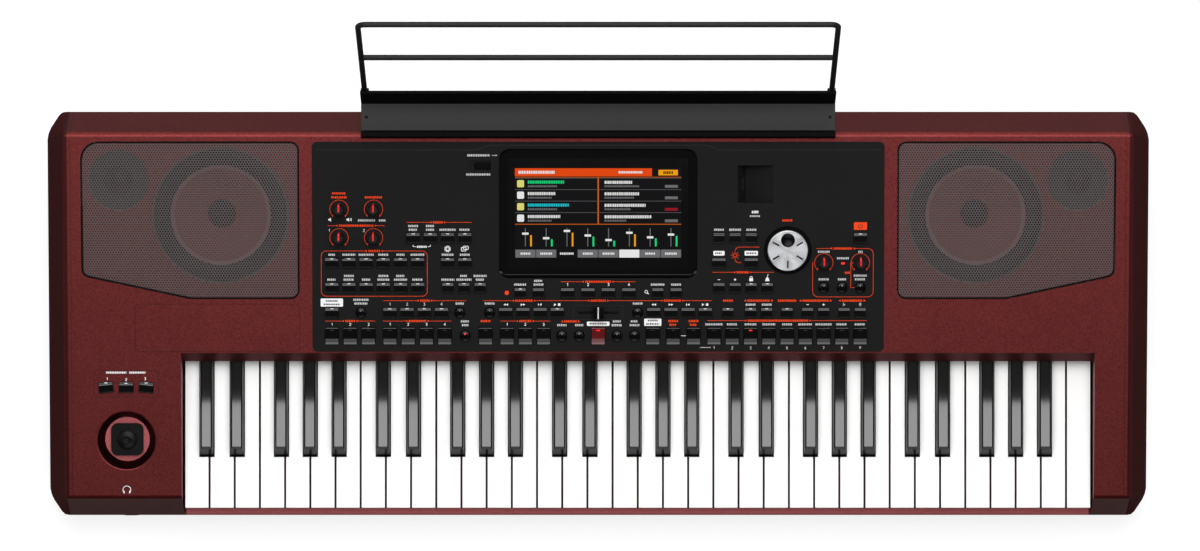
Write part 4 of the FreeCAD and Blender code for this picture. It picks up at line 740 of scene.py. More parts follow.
def honeycomb(pile, outline, top):
    """Sheet of six-sided holes inside an outline."""
    corner_r = HOLE_PITCH / math.sqrt(3)
    limit = drawn_in(outline, corner_r - 0.4)
    us, vs = zip(*outline)
    row_step = HOLE_PITCH * math.sqrt(3) / 2
    shared = {}
    rims = {}

    def corner(u, v, level):
        key = (round(u, 2), round(v, 2), level)
        if key not in shared:
            shared[key] = len(pile.points)
            pile.points.append(spot(u, v, level))
        return shared[key]

    for row in range(int((max(vs) - min(vs)) / row_step) + 1):
        for column in range(int((max(us) - min(us)) / HOLE_PITCH) + 1):
            u = min(us) + (column + row % 2 / 2) * HOLE_PITCH
            v = min(vs) + row * row_step
            if not inside(Vector((u, v)), limit):
                continue
            cell = arc(u, v, corner_r, 30, 390, 6)[:-1]
            hole = arc(u, v, HOLE_R, 30, 390, 6)[:-1]
            outer = [[corner(p.x, p.y, level) for p in cell] for level in (top, top - SHEET_T)]
            first = len(pile.points)
            pile.points += [spot(p.x, p.y, level) for level in (top, top - SHEET_T) for p in hole]
            for i in range(6):
                j = (i + 1) % 6
                upper = [outer[0][i], outer[0][j], first + j, first + i]
                lower = [outer[1][j], outer[1][i], first + 6 + i, first + 6 + j]
                wall = [first + i, first + j, first + 6 + j, first + 6 + i]
                pile.faces += [upper, lower, wall]
                side = frozenset(upper[:2])
                if side in rims:
                    del rims[side]
                else:
                    rims[side] = [upper[1], upper[0], outer[1][i], outer[1][j]]
    pile.faces += list(rims.values())


def ring(pile, outline, profile):
    """Closed profile of (inset, level) points carried round a plan."""
    n = len(outline)
    points = [spot(p.x, p.y, level) for inset, level in profile for p in drawn_in(outline, inset)]
    faces = []
    for row in range(len(profile)):
        after = (row + 1) % len(profile)
        for i in range(n):
            j = (i + 1) % n
            faces.append([row * n + i, row * n + j, after * n + j, after * n + i])
    pile.add(points, faces)


for node in ("left_speaker_grille", "right_speaker_grille"):
    levels = [w for u, v, w in readings(node)]
    sheet = Pile()
    plan = plan_of(node)
    honeycomb(sheet, plan, max(levels))
    punched = sheet.piece(node + "_punched", GRILLE_GREY, "case", "grille_metal")
    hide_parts(node)
    fold = Pile()
    top = max(levels)
    foot = min(levels)
    ring(fold, plan, [(0, foot), (0, top - 0.3), (0.3, top + 0.1), (RIM_W, top + 0.1), (RIM_W, foot)])
    fold.piece(node + "_rim", RIM_PAINTED_SHADOW, "case", "grille_metal")

# %% [markdown]
# ## Print on the panel
# The real panel is screen printed in two colours: orange for the section lines and titles, white
# for the labels. Screen print is a film about 0.05 mm thick, so lines and plates are thin closed
# strips. Words are only hinted at with rows of small blocks. Numbers and common signs are drawn.

# %% Print inks
def ink(name, base, glow=0.0):
    paint = Paint(name)
    mesh_marks = paint.noise(0.5)
    thin = shade(base, 0.82)
    return paint.surface({"Base Color": paint.mix(mesh_marks, thin, base), "Roughness": 0.6,
                          "Specular IOR Level": 0.08, "Emission Color": base, "Emission Strength": glow})


ORANGE_INK = ink("print_orange", colour(236, 68, 22))
WHITE_INK = ink("print_white", colour(238, 238, 238))
GREY_INK = ink("print_small_grey", colour(196, 196, 196))
FILM = 0.06
orange = Pile()
white = Pile()
grey = Pile()
print("three inks")

# %% Words, lines, plates and numbers
GLYPHS = (1.2, 1.0, 1.3, 1.1, 0.8, 1.3, 1.15)
GLYPH_GAP = 0.5
LINE_W = 0.41
DIGITS = {
    1: [(0.2, 0.75), (0.5, 1), (0.5, 0)],
    2: [(0, 0.8), (0.2, 1), (0.55, 1), (0.7, 0.8), (0.65, 0.6), (0, 0), (0.75, 0)],
    3: [(0, 1), (0.65, 1), (0.3, 0.6), (0.65, 0.5), (0.7, 0.2), (0.5, 0), (0, 0.05)],
    4: [(0.55, 0), (0.55, 1), (0, 0.3), (0.8, 0.3)],
    5: [(0.65, 1), (0.1, 1), (0.05, 0.55), (0.5, 0.6), (0.7, 0.35), (0.5, 0), (0, 0.05)],
    6: [(0.6, 1), (0.1, 0.5), (0.05, 0.2), (0.25, 0), (0.55, 0), (0.7, 0.25), (0.55, 0.5), (0.12, 0.4)],
    7: [(0, 1), (0.7, 1), (0.25, 0)],
    8: [(0.3, 0.55), (0.05, 0.75), (0.2, 1), (0.5, 1), (0.65, 0.75), (0.1, 0.35), (0.1, 0.05), (0.4, 0),
        (0.7, 0.2), (0.4, 0.52)],
    9: [(0.1, 0), (0.6, 0.5), (0.65, 0.8), (0.45, 1), (0.15, 1), (0, 0.75), (0.15, 0.5), (0.58, 0.6)],
}


def word(pile, u, v, length, height=2.0, level=0.0):
    """Row of small blocks, centred, that reads as print from a step away."""
    place = u - length / 2
    turn = 0
    while place < u + length / 2 - 0.4:
        end = min(place + GLYPHS[turn % len(GLYPHS)], u + length / 2)
        pile.prism(round_box(place, end, v - height / 2, v + height / 2, 0.15, 1), level, level + FILM)
        place = end + GLYPH_GAP
        turn += 1


def line(pile, path, width=LINE_W, closed=False, level=0.0):
    pile.stroke(path, width, level, level + FILM, closed)


def plate(pile, u0, u1, v0, v1, radius=0.8, level=0.0):
    pile.prism(round_box(u0, u1, v0, v1, radius), level, level + FILM)


def number(pile, digit, u, v, height=2.3, width=0.42, level=0.0):
    path = [(u + (x - 0.35) * height * 0.8, v + (y - 0.5) * height) for x, y in DIGITS[digit]]
    line(pile, path, width, False, level)


def wedge(pile, u, v, size, level=0.0):
    """Triangle that points right for a positive size and left for a negative one."""
    half = abs(size) * 0.55
    outline = [(u + size / 2, v), (u - size / 2, v + half), (u - size / 2, v - half)]
    pile.prism(outline if size > 0 else outline[::-1], level, level + FILM)


def section(u0, u1, v, titles):
    """Orange line with titles of (place, length) in it, each between two wedges."""
    start = u0
    for place, length in titles:
        gap = length / 2 + 3.0
        line(orange, [(start, v), (place - gap, v)])
        wedge(orange, place - gap + 0.8, v, -1.8)
        word(orange, place, v, length)
        wedge(orange, place + gap - 0.8, v, 1.8)
        start = place + gap
    line(orange, [(start, v), (u1, v)])


print("drawing tools for", len(DIGITS), "numbers, words, lines and plates")

# %% [markdown]
# ## Sections of the panel
# Lines and frames gather buttons that belong together. Their places follow the button rows, which
# are measured above, and the offsets are those of the real print: a section line runs about
# 14 mm behind the middle of a row of large buttons and 11 mm behind a row of small ones.

# %% Rows of buttons and the section lines
def rows_of(name):
    """Caps of a bank by their row, front row first."""
    rows = {}
    for cap in CAPS[name]:
        rows.setdefault(round(middle(cap)[1]), []).append(cap)
    return [rows[key] for key in sorted(rows)]


ROW_A = middle(CAPS["arranger_buttons"][0])[1]
ROW_B = middle(CAPS["pad_buttons"][0])[1]
ROW_SET = middle(CAPS["keyboard_set_buttons"][0])[1]
ROW_C, ROW_D = [middle(row[0])[1] for row in rows_of("style_buttons")]
ROW_E = middle(rows_of("mode_buttons")[2][0])[1]
LINE_A = ROW_A + 13.9
LINE_B = ROW_B + 11.2
ARRANGER = [middle(cap)[0] for cap in CAPS["arranger_buttons"]]
SOUNDS = [middle(cap)[0] for cap in CAPS["sound_select_buttons"]]
PADS = [middle(cap)[0] for cap in CAPS["pad_buttons"]]
MENU_ROWS = [[middle(cap)[0] for cap in row] for row in rows_of("menu_tempo_buttons")]
MODE_ROWS = [[middle(cap)[0] for cap in row] for row in rows_of("mode_buttons")]
STYLES = [middle(cap)[0] for cap in rows_of("style_buttons")[0]]
OCTAVES = [middle(cap)[0] for cap in CAPS["octave_transpose_buttons"]]
ROUNDS = [[middle(cap)[0] for cap in row] for row in rows_of("round_buttons")]
PLAYERS = [middle(cap)[0] for cap in CAPS["player_buttons"]]
SETS = [middle(cap)[0] for cap in CAPS["keyboard_set_buttons"]]
HALF_CAP = 6.2

section(ARRANGER[0] - HALF_CAP, ARRANGER[2] + HALF_CAP, LINE_A, [((ARRANGER[0] + ARRANGER[2]) / 2, 9)])
section(ARRANGER[3] - HALF_CAP, ARRANGER[6] + HALF_CAP, LINE_A, [((ARRANGER[3] + ARRANGER[6]) / 2, 16)])
section(ARRANGER[8] - HALF_CAP, ARRANGER[10] + HALF_CAP, LINE_A, [((ARRANGER[8] + ARRANGER[10]) / 2, 11)])
word(orange, ARRANGER[7], LINE_A, 9)
section(SOUNDS[3] - HALF_CAP, SOUNDS[11] + HALF_CAP, LINE_A + 0.4, [((SOUNDS[6] + SOUNDS[7]) / 2, 56)])
section(PADS[1] - HALF_CAP, ROUNDS[1][1] + HALF_CAP, LINE_B, [((PADS[1] + ROUNDS[1][1]) / 2, 9)])
section(ROUNDS[1][2] - HALF_CAP, PLAYERS[-1] + HALF_CAP, LINE_B, [(-69, 16), (0, 14), (69, 16)])
section(SETS[2] - HALF_CAP, SETS[5] + HALF_CAP, ROW_SET + 10.4, [(0, 24)])
section(MENU_ROWS[0][0] - HALF_CAP, MENU_ROWS[0][3] + HALF_CAP, ROW_C + 14.4, [(MENU_ROWS[0][1] + 7, 11)])
section(MODE_ROWS[2][0] - HALF_CAP, MODE_ROWS[2][3] + HALF_CAP, ROW_E + 14.4, [(-149, 9)])
section(-251.5, -198.5, ROW_E + 11.3, [(-224.8, 32)])
for place, length, pointed in ((OCTAVES[0], 9, False), ((OCTAVES[1] + OCTAVES[2]) / 2, 21, True),
                               (OCTAVES[3], 17, False), ((OCTAVES[4] + OCTAVES[5]) / 2, 24, True),
                               ((OCTAVES[6] + OCTAVES[7]) / 2, 19, True)):
    word(orange, place, LINE_B, length)
    if pointed:
        wedge(orange, place - length / 2 - 2.2, LINE_B, -2)
        wedge(orange, place + length / 2 + 2.2, LINE_B, 2)
print("rows at", [round(row, 1) for row in (ROW_A, ROW_B, ROW_SET, ROW_C, ROW_D, ROW_E)])

# %% Frames round the styles and the audio input
STYLE_LEFT = STYLES[0] - 9.7
STYLE_RIGHT = STYLES[5] + 8.9
STYLE_FRONT = ROW_C - 8.0
STYLE_REAR = ROW_D + 11.0
title = (STYLE_LEFT + STYLE_RIGHT) / 2
frame_path = round_box(STYLE_LEFT, STYLE_RIGHT, STYLE_FRONT, STYLE_REAR, 4.6)
corner_steps = len(frame_path) // 4
line(orange, [(title - 9, STYLE_REAR)] + frame_path[corner_steps:] + frame_path[:corner_steps]
     + [(title + 9, STYLE_REAR)])
wedge(orange, title - 8, STYLE_REAR, -2)
wedge(orange, title + 8, STYLE_REAR, 2)
word(orange, title, STYLE_REAR, 11)

AUDIO_LEFT = 199.5
AUDIO_RIGHT = 255.8
AUDIO_FRONT = ROW_C - 8.6
AUDIO_REAR = ROW_D + 13.3
AUDIO_OPEN = ROW_D + 0.7
AUDIO_R = 5.0
audio_title = (AUDIO_LEFT + AUDIO_RIGHT) / 2
right_side = arc(AUDIO_RIGHT - AUDIO_R, AUDIO_REAR - AUDIO_R, AUDIO_R, 90, 0, 5)
right_side += arc(AUDIO_RIGHT - AUDIO_R, AUDIO_FRONT + AUDIO_R, AUDIO_R, 0, -90, 5)
right_side += arc(AUDIO_LEFT + AUDIO_R, AUDIO_FRONT + AUDIO_R, AUDIO_R, -90, -180, 5)
line(orange, [(audio_title + 12, AUDIO_REAR)] + right_side + [(AUDIO_LEFT, AUDIO_OPEN)])
line(orange, [(AUDIO_LEFT + 3.3, AUDIO_REAR), (audio_title - 12, AUDIO_REAR)])
wedge(orange, audio_title - 11, AUDIO_REAR, -2)
wedge(orange, audio_title + 11, AUDIO_REAR, 2)
word(orange, audio_title, AUDIO_REAR, 17)
MIC_LINE = audio_title + 7.3
line(orange, [(MIC_LINE + 2.4, ROW_D), (MIC_LINE, ROW_D), (MIC_LINE, ROW_C), (MIC_LINE + 3.4, ROW_C)])
word(orange, MIC_LINE - 3, ROW_C + 14, 5)
word(grey, audio_title, ROW_D + 4.2, 11)
print("two frames")

# %% [markdown]
# ## Labels by their buttons
# A label stands a fixed distance behind its button, so a loop over the measured caps places it.
# Some labels have two lines. Row A carries plain numbers, as such keyboards do, and the transport
# buttons carry the usual player signs.

# %% Labels of the button banks
SMALL_LABEL = 7.5       # label behind the middle of a small button
SECOND_LINE = 3.5
BIG_LABEL = 10.8


def labels(places, row, lengths, pile=grey):
    """Words of the given lengths behind a row of buttons; a pair makes two lines."""
    for u, length in zip(places, lengths):
        lines = length if isinstance(length, tuple) else (length,)
        for k, one in enumerate(reversed(lines)):
            word(pile, u, row + SMALL_LABEL + k * SECOND_LINE, one)


labels(STYLES, ROW_D, (6, 12, 14, 9, 7.5, 13))
labels(STYLES, ROW_C, (8, (9, 10), 7.5, (9, 11), (8, 12), 10))
labels(MODE_ROWS[2], ROW_E, ((9, 8), (8, 8), 15, 10))
labels(MODE_ROWS[1], ROW_D, (11, 9))
labels(MODE_ROWS[0], ROW_C, (12, (7, 14), (12, 8)))
labels(MENU_ROWS[2], ROW_E, (9, 11, 9))
labels(OCTAVES[1:3], ROW_B, (9, 9))
labels(ROUNDS[1], ROW_B + 1, ((14, 12), 7.5, 9, 9))
labels(ROUNDS[2], ROW_C + 0.3, (9.5, 7.5, (12, 10)))
labels(SETS[:2] + SETS[6:], ROW_SET + 0.2, (11, (8, 9), 13, 9))
for place, digit in zip(SETS[2:], (1, 2, 3, 4)):
    number(white, digit, place, ROW_SET + SMALL_LABEL + 0.2)
labels(ROUNDS[0], ROW_A + 2.6, ((8, 6), 8.5, 7.5, (8, 10), (7, 9)))
for place, digit in zip(PADS[1:], (1, 2, 3, 4)):
    number(grey, digit, place, ROW_B + SMALL_LABEL + 0.4)
for place, digit in zip(ARRANGER, (1, 2, 3, 1, 2, 3, 4, 0, 1, 2, 3)):
    if digit:
        number(white, digit, place, ROW_A + BIG_LABEL)
for place, length in zip(SOUNDS[3:], (16, 10, 11, 12, 9, 13, 15, 10, 10)):
    word(grey, place, ROW_A + BIG_LABEL, length)
for digit, place in enumerate(SOUNDS[3:], 1):
    number(grey, digit, place, ROW_A - 11.2)
line(grey, [(SOUNDS[3] - 13, ROW_A - 10.8), (SOUNDS[3] - 3, ROW_A - 10.8)], 0.5)
for place in SOUNDS[1:3]:
    word(orange, place, LINE_A, 9)
    word(orange, place, LINE_A - SECOND_LINE, 7)
print("labels for", sum(len(boxes) for boxes in CAPS.values()), "buttons")

# %% Plates, player signs and other marks
plate(white, PADS[0] - 10.4, PADS[0] + 10.4, ROW_B + 5.6, ROW_B + 13.2)
plate(white, -10.5, 10.5, ROW_A + 9.4, ROW_A + 13.4)
plate(white, SOUNDS[0] - 8, SOUNDS[0] + 8, ROW_A + 9.4, ROW_A + 16.2)
plate(white, MENU_ROWS[1][0] - 5.2, MENU_ROWS[1][0] + 5.2, ROW_D + 6.7, ROW_D + 11)
plate(white, MENU_ROWS[1][1] - 6.2, MENU_ROWS[1][1] + 6.2, ROW_D + 6.7, ROW_D + 11)
power_u = middle(CAPS["power_button"][0])[0]
plate(orange, power_u - 6.1, power_u + 6.1, ROW_E + 7.4, ROW_E + 14.5)
dark = Pile()
PRINTED = FILM
line(dark, arc(power_u, ROW_E + 10.8, 1.9, 130, 410, 10), 0.55, False, PRINTED)
line(dark, [(power_u, ROW_E + 11), (power_u, ROW_E + 13.4)], 0.55, False, PRINTED)
for place, row, length in ((PADS[0], ROW_B + 10.9, 11), (PADS[0], ROW_B + 7.7, 15), (0, ROW_A + 11.4, 16),
                           (SOUNDS[0], ROW_A + 14.4, 9), (SOUNDS[0], ROW_A + 11.2, 12),
                           (MENU_ROWS[1][0], ROW_D + 8.9, 7), (MENU_ROWS[1][1], ROW_D + 8.9, 9)):
    word(dark, place, row, length, 1.5, PRINTED)
word(orange, dial_u, dial_v + 27.8, 10)
LOCK_U = -111.0
word(grey, LOCK_U, 183.2, 21)
line(grey, [(LOCK_U + 12, 183.2), (LOCK_U + 16, 183.2)], 0.4)
wedge(grey, LOCK_U + 16.6, 183.2, 1.6)
word(grey, LOCK_U, 165.4, 23)
POCKET_U = 146.0
word(white, POCKET_U, 130.4, 6.5, 2.4)
word(grey, POCKET_U, 126.6, 10, 1.6)
orange.prism(disc(SETS[0] - 12.5, ROW_SET, 2.0, 16), 0, FILM)


def player_signs(places):
    """Rewind, forward, previous, and play with stop, from left to right."""
    v = ROW_B + SMALL_LABEL
    for shift in (-1.1, 1.1):
        wedge(white, places[0] + shift, v, -2)
        wedge(white, places[1] + shift, v, 2)
    line(white, [(places[2] - 1.6, v - 1.1), (places[2] - 1.6, v + 1.1)], 0.6)
    wedge(white, places[2] + 0.3, v, -2)
    wedge(white, places[3] - 2, v, 2.2)
    plate(white, places[3] + 0.6, places[3] + 2.8, v - 1.1, v + 1.1, 0.1)


def plus_sign(u, v):
    line(white, [(u - 1.1, v), (u + 1.1, v)], 0.6)
    line(white, [(u, v - 1.1), (u, v + 1.1)], 0.6, False, PRINTED)


player_signs(PLAYERS[:4])
player_signs(PLAYERS[4:])
for minus, plus, row in ((MENU_ROWS[0][0], MENU_ROWS[0][1], ROW_C + SMALL_LABEL),
                         (OCTAVES[4], OCTAVES[5], ROW_B + SMALL_LABEL)):
    line(white, [(minus - 1.1, row), (minus + 1.1, row)], 0.6)
    plus_sign(plus, row)
print("plates and signs")

# %% [markdown]
# ## Common signs
# A padlock, a metronome, a gear and a loudspeaker say what a button does in any language. They are
# drawn from circles, arcs and straight lines, at the size of the real ones, about 4 mm.

# %% Signs by their buttons
def padlock(u, v):
    plate(white, u - 1.7, u + 1.7, v - 2, v + 0.8, 0.4)
    line(white, [(u - 1.1, v + 0.8)] + arc(u, v + 1.3, 1.1, 180, 0, 6) + [(u + 1.1, v + 0.8)], 0.5)


def metronome(u, v):
    white.prism([(u - 2.1, v - 2), (u + 2.1, v - 2), (u + 0.9, v + 1.6), (u - 0.9, v + 1.6)], 0, FILM)
    line(white, [(u, v + 1.6), (u + 0.7, v + 4.6)], 0.45)


def gear(u, v):
    outline = []
    for tooth in range(8):
        for step, radius in ((0, 2.2), (10, 3.0), (26, 3.0), (36, 2.2)):
            outline += arc(u, v, radius, tooth * 45 + step, tooth * 45 + step, 1)[:1]
    line(white, drawn_in(outline, 0.6), 1.2, True)


def loudspeaker(u, v, waves):
    white.prism([(u - 1.6, v - 0.8), (u - 0.6, v - 0.8), (u + 0.8, v - 1.8), (u + 0.8, v + 1.8),
                 (u - 0.6, v + 0.8), (u - 1.6, v + 0.8)], 0, FILM)
    for k in range(waves):
        line(white, arc(u + 0.6, v, 1.5 + 0.9 * k, -40, 40, 4), 0.4)


def sun(u, v):
    line(orange, disc(u, v, 1.6, 12), 0.6, True)
    for ray in range(8):
        ends = [arc(u, v, radius, ray * 45, ray * 45, 1)[0] for radius in (2.5, 4)]
        line(orange, ends, 0.5)


def knob_arc(u, v):
    """Scale round a knob, open at the front, with a barb at each end."""
    path = arc(u, v, 8.6, 225, -45, 24)
    line(orange, path, 0.4)
    for end, side in ((path[0], -1), (path[-1], 1)):
        barb = [end + Vector((side * x, y)) for x, y in ((0.9, 0.9), (-1.0, 0.4), (-0.3, -1.3))]
        orange.prism(barb if side > 0 else barb[::-1], PRINTED, 2 * PRINTED)


padlock(MENU_ROWS[0][2], ROW_C + 8.1)
metronome(MENU_ROWS[0][3], ROW_C + 8.1)
gear(MODE_ROWS[1][0], ROW_D + 12.9)
card_u = MODE_ROWS[1][1]
line(white, round_box(card_u - 3.2, card_u + 1.2, ROW_D + 11, ROW_D + 14.2, 0.5), 0.6, True)
line(white, round_box(card_u - 1.4, card_u + 3.2, ROW_D + 12.4, ROW_D + 15.4, 0.5), 0.6, True, PRINTED)
hook_u = (MODE_ROWS[2][0] + MODE_ROWS[2][1]) / 2
word(white, hook_u, ROW_E - 8.4, 9)
for side in (-1, 1):
    hook = [(hook_u + side * x, ROW_E + y) for x, y in ((5.6, -8.4), (8, -8), (8, -6.6))]
    line(white, hook, 0.5)
sun(127.3, ROW_D + 6.9)
line(orange, [(127.3, ROW_D + 11.4)] + arc(131, ROW_D + 11.4, 3.2, 180, 90, 4)[1:] + [(149.7, ROW_D + 14.6)])
line(orange, [(127.3, ROW_D + 2.4)] + arc(130, ROW_D + 2.4, 2.2, 180, 270, 4)[1:] + [(133, ROW_D + 0.2)])
lens_u = SETS[6] - 10.3
line(white, disc(lens_u - 0.5, ROW_SET + 1, 1.3, 10), 0.5, True)
line(white, [(lens_u + 0.5, ROW_SET), (lens_u + 1.9, ROW_SET - 1.3)], 0.7)
flat_u, sharp_u = OCTAVES[6], OCTAVES[7]
flat = [(flat_u + x, ROW_B + y) for x, y in ((-0.7, 9.4), (-0.7, 6.4), (0.8, 7.6), (-0.7, 8))]
line(grey, flat, 0.4)
for shift in (-0.5, 0.5):
    line(grey, [(sharp_u + shift, ROW_B + 6.2), (sharp_u + shift, ROW_B + 9.2)], 0.35)
    bar = [(sharp_u - 1.1, ROW_B + 7.7 + shift), (sharp_u + 1.1, ROW_B + 7.9 + shift)]
    line(grey, bar, 0.35, False, PRINTED)
sync_u = (ROUNDS[0][1] + ROUNDS[0][2]) / 2
sync_v = ROW_A + 2.6 + SMALL_LABEL + SECOND_LINE
word(orange, sync_u, sync_v, 12)
for side in (-1, 1):
    wedge(orange, sync_u + side * 8, sync_v, side * 2)
line(white, [(SOUNDS[1] + 7.3, ROW_A + 0.2), (SOUNDS[2] - 7.3, ROW_A + 0.2)], 0.5)
print("signs drawn")

# %% Knob scales
KNOBS = {}
for name in sorted(NODES):
    if "_knob" in name:
        us, vs, ws = zip(*readings(name))
        KNOBS[name] = ((min(us) + max(us)) / 2, (min(vs) + max(vs)) / 2, max(ws))
for u, v, top in KNOBS.values():
    knob_arc(u, v)
master_u, master_v = KNOBS["master_volume_knob"][:2]
balance_u = KNOBS["balance_knob"][0]
for u, rise, length in ((master_u, 14.8, 13), (master_u, 11.1, 14), (balance_u, 11.1, 16)):
    word(orange, u, master_v + rise, length, 2)
loudspeaker(master_u - 8.3, master_v - 9.7, 0)
loudspeaker(master_u + 8.6, master_v - 9.7, 2)
word(grey, balance_u - 6.4, master_v - 10.4, 16)
word(grey, balance_u + 8, master_v - 10.4, 6)
number(grey, 1, master_u - 9.2, ROW_E + 6.8)
number(grey, 2, balance_u - 8.9, ROW_E + 6.8)
word(grey, KNOBS["mic_volume_knob"][0], ROW_D + 10.2, 11)
word(grey, KNOBS["mic_effect_knob"][0], ROW_D + 10.2, 4)

orange.piece("panel_print_orange", ORANGE_INK, "case", "panel_plastic")
white.piece("panel_print_white", WHITE_INK, "case", "panel_plastic")
grey.piece("panel_print_small", GREY_INK, "case", "panel_plastic")
dark.piece("panel_print_on_plates", ink("print_on_plates", colour(40, 40, 40)), "case", "panel_plastic")

# %% [markdown]
# ## Print and fine lines on the red case
# Left of the keys the shell carries a headphone sign, numbers over three switches and two shallow
# outlines that are moulded into it. The outlines are thin strips in a darker red, painted shade of
# the grooves. The dish of the joystick has a low lip whose inner slope catches the light at the front.

# %% Case print
shell_white = Pile()
shell_outline_shade = Pile()
SHELL = CASE_TOP
switches = CAPS["assignable_switches"]
switch_u, switch_v = middle(switches[1])
for digit, cap in enumerate(switches, 1):
    number(shell_white, digit, middle(cap)[0] * 0.95 + switch_u * 0.05, cap[3] + 2.4, 2.2, 0.5, SHELL)
word(shell_white, switch_u - 9, cap[3] + 8.3, 19, 1.9, SHELL)
word(shell_white, switch_u + 10.5, cap[3] + 8.3, 15, 1.9, SHELL)
PHONES_V = STICK_V - 46.4
line(shell_white, arc(STICK_U, PHONES_V, 3.7, 215, -35, 16), 0.6, False, SHELL)
for side in (-1, 1):
    pad = [(STICK_U + side * 3, PHONES_V - 0.6), (STICK_U + side * 2.5, PHONES_V - 3.2)]
    line(shell_white, pad, 1.2, False, SHELL)
# Darker red outlines: painted shade of the moulded grooves.
switch_field = round_box(switch_u - 30.1, switch_u + 30.2, switch_v - 9, switch_v + 16, 4)
line(shell_outline_shade, switch_field, 0.5, True, SHELL)
line(shell_outline_shade, round_box(-430.9, -277.8, 0, 44.3, 4), 0.5, True, SHELL)
lip = Pile()
lip_profile = [(0, SHELL - 0.2), (0.2, SHELL + 0.22), (1.2, SHELL - 0.06), (1.4, SHELL - 0.7)]
ring(lip, disc(STICK_U, STICK_V, DISH_R + 1.1, 64), lip_profile)
lip.piece("joystick_dish_lip", CASE_RED, "case", "case_paint")
shell_white.piece("case_print_white", WHITE_INK, "case", "case_paint")
shell_outline_shade.piece("case_moulded_lines", ink("case_line_dark_red", colour(66, 24, 26)), "case", "case_paint")

# %% [markdown]
# ## Lamps in the buttons
# Small buttons that switch something on have a clear lens in the slope at their back, large ones a
# narrow slot, round ones a dot. The clear lenses are near white, partly their own pale colour and
# partly a painted reflection. A lens is a low, long dome that leans with its slope. Lit lamps use the
# same forms in red, with a little light of their own. Each set of lamps rides on its bank, so it goes
# down with the caps.

# %% Lamp finishes and forms
def lens_paint(name, base, glow):
    paint = Paint(name)
    cloud = paint.noise(0.6)
    return paint.surface({"Base Color": paint.mix(cloud, base, shade(base, 0.7)),
                          "Roughness": 0.2, "Emission Color": base, "Emission Strength": glow})


# Near white clear lens: partly its pale colour, partly a painted reflection.
PALE_LENS_PAINTED_GLINT = lens_paint("lamp_clear_lens", colour(224, 224, 224), 0.0)
DARK_LENS = lens_paint("lamp_dark_slot", colour(6, 6, 6), 0.0)
SMOKED_LENS = lens_paint("lamp_smoked_lens", colour(120, 120, 120), 0.0)
RED_LENS = lens_paint("lamp_lit_red", colour(255, 30, 30), 0.9)
SLOPE_LEAN = -27.0      # rear slope of a small cap
NO_LAMP = {"menu_tempo_buttons": lambda u, v: u < MENU_ROWS[0][2] - 1 or v > ROW_C + 5,
           "octave_transpose_buttons": lambda u, v: u > OCTAVES[4] - 1,
           "keyboard_set_buttons": lambda u, v: u > SETS[0] + 1,
           "player_buttons": lambda u, v: abs(u - PLAYERS[3]) > 1 and abs(u - PLAYERS[7]) > 1}


def lamp(pile, box):
    """Lens, slot or dot of one cap."""
    u0, u1, v0, v1, top = box
    u, v = middle(box)
    if v1 - v0 > 12:
        pile.prism(round_box(u - 1.6, u + 1.6, v1 - 3.1, v1 - 2.1, 0.45), top - 0.05, top + 0.08)
    elif abs((u1 - u0) - (v1 - v0)) < 0.1:
        pile.turned(u, v + 2, [(0.85, top - 0.1), (0.8, top + 0.1), (0.4, top + 0.22)], 12)
    else:
        back = (v1 - v0) / 8
        dome = [(0.9, top - 0.65), (0.8, top - 0.5), (0.4, top - 0.42)]
        pile.turned(u, v1 - back, dome, 16, SLOPE_LEAN, 2.0)


for bank in BANKS:
    plain = Pile()
    lit = Pile()
    deep = Pile()
    for box in CAPS[bank]:
        u, v = middle(box)
        if bank in NO_LAMP and NO_LAMP[bank](u, v):
            continue
        on = bank == "start_stop_button" or (bank == "sound_select_buttons" and abs(u - SOUNDS[5]) < 1)
        on = on or (bank == "round_buttons" and abs(u - ROUNDS[0][0]) < 1)
        lamp(lit if on else deep if box[3] - box[2] > 12 else plain, box)
    clear = SMOKED_LENS if bank == "round_buttons" else PALE_LENS_PAINTED_GLINT
    sets = (plain, clear, "_lenses"), (deep, DARK_LENS, "_slots"), (lit, RED_LENS, "_lit")
    for pile, material, ending in sets:
        if pile.faces:
            pile.piece(bank + ending, material, bank, "button_plastic", True)

level_lamp = Pile()
level_lamp.prism(round_box(audio_title - 1.6, audio_title + 1.6, ROW_D - 1.4, ROW_D + 0.4, 0.85), 0, 0.4)
level_lamp.piece("level_lamp_lit", RED_LENS, "case", "panel_plastic")

# %% [markdown]
# ## Pointers, marks and the fader line
# Every knob has a red pointer let into its top and bent down its flank, with a faint painted glow.
# The dial has five black strokes that are inlaid between its dimple and its rim, and the crossfader
# has a white line in the valley of its cap. They are closed strips a tenth of a millimetre proud.

# %% Knob pointers
# The pointers glow faintly though they hold no lamp: painted light.
POINTER_RED_PAINTED_GLOW = lens_paint("pointer_red", colour(224, 20, 24), 0.15)
KNOB_TOP_R = 4.6
KNOB_FLANK_R = 5.5
KNOB_FLANK_DROP = 10.0


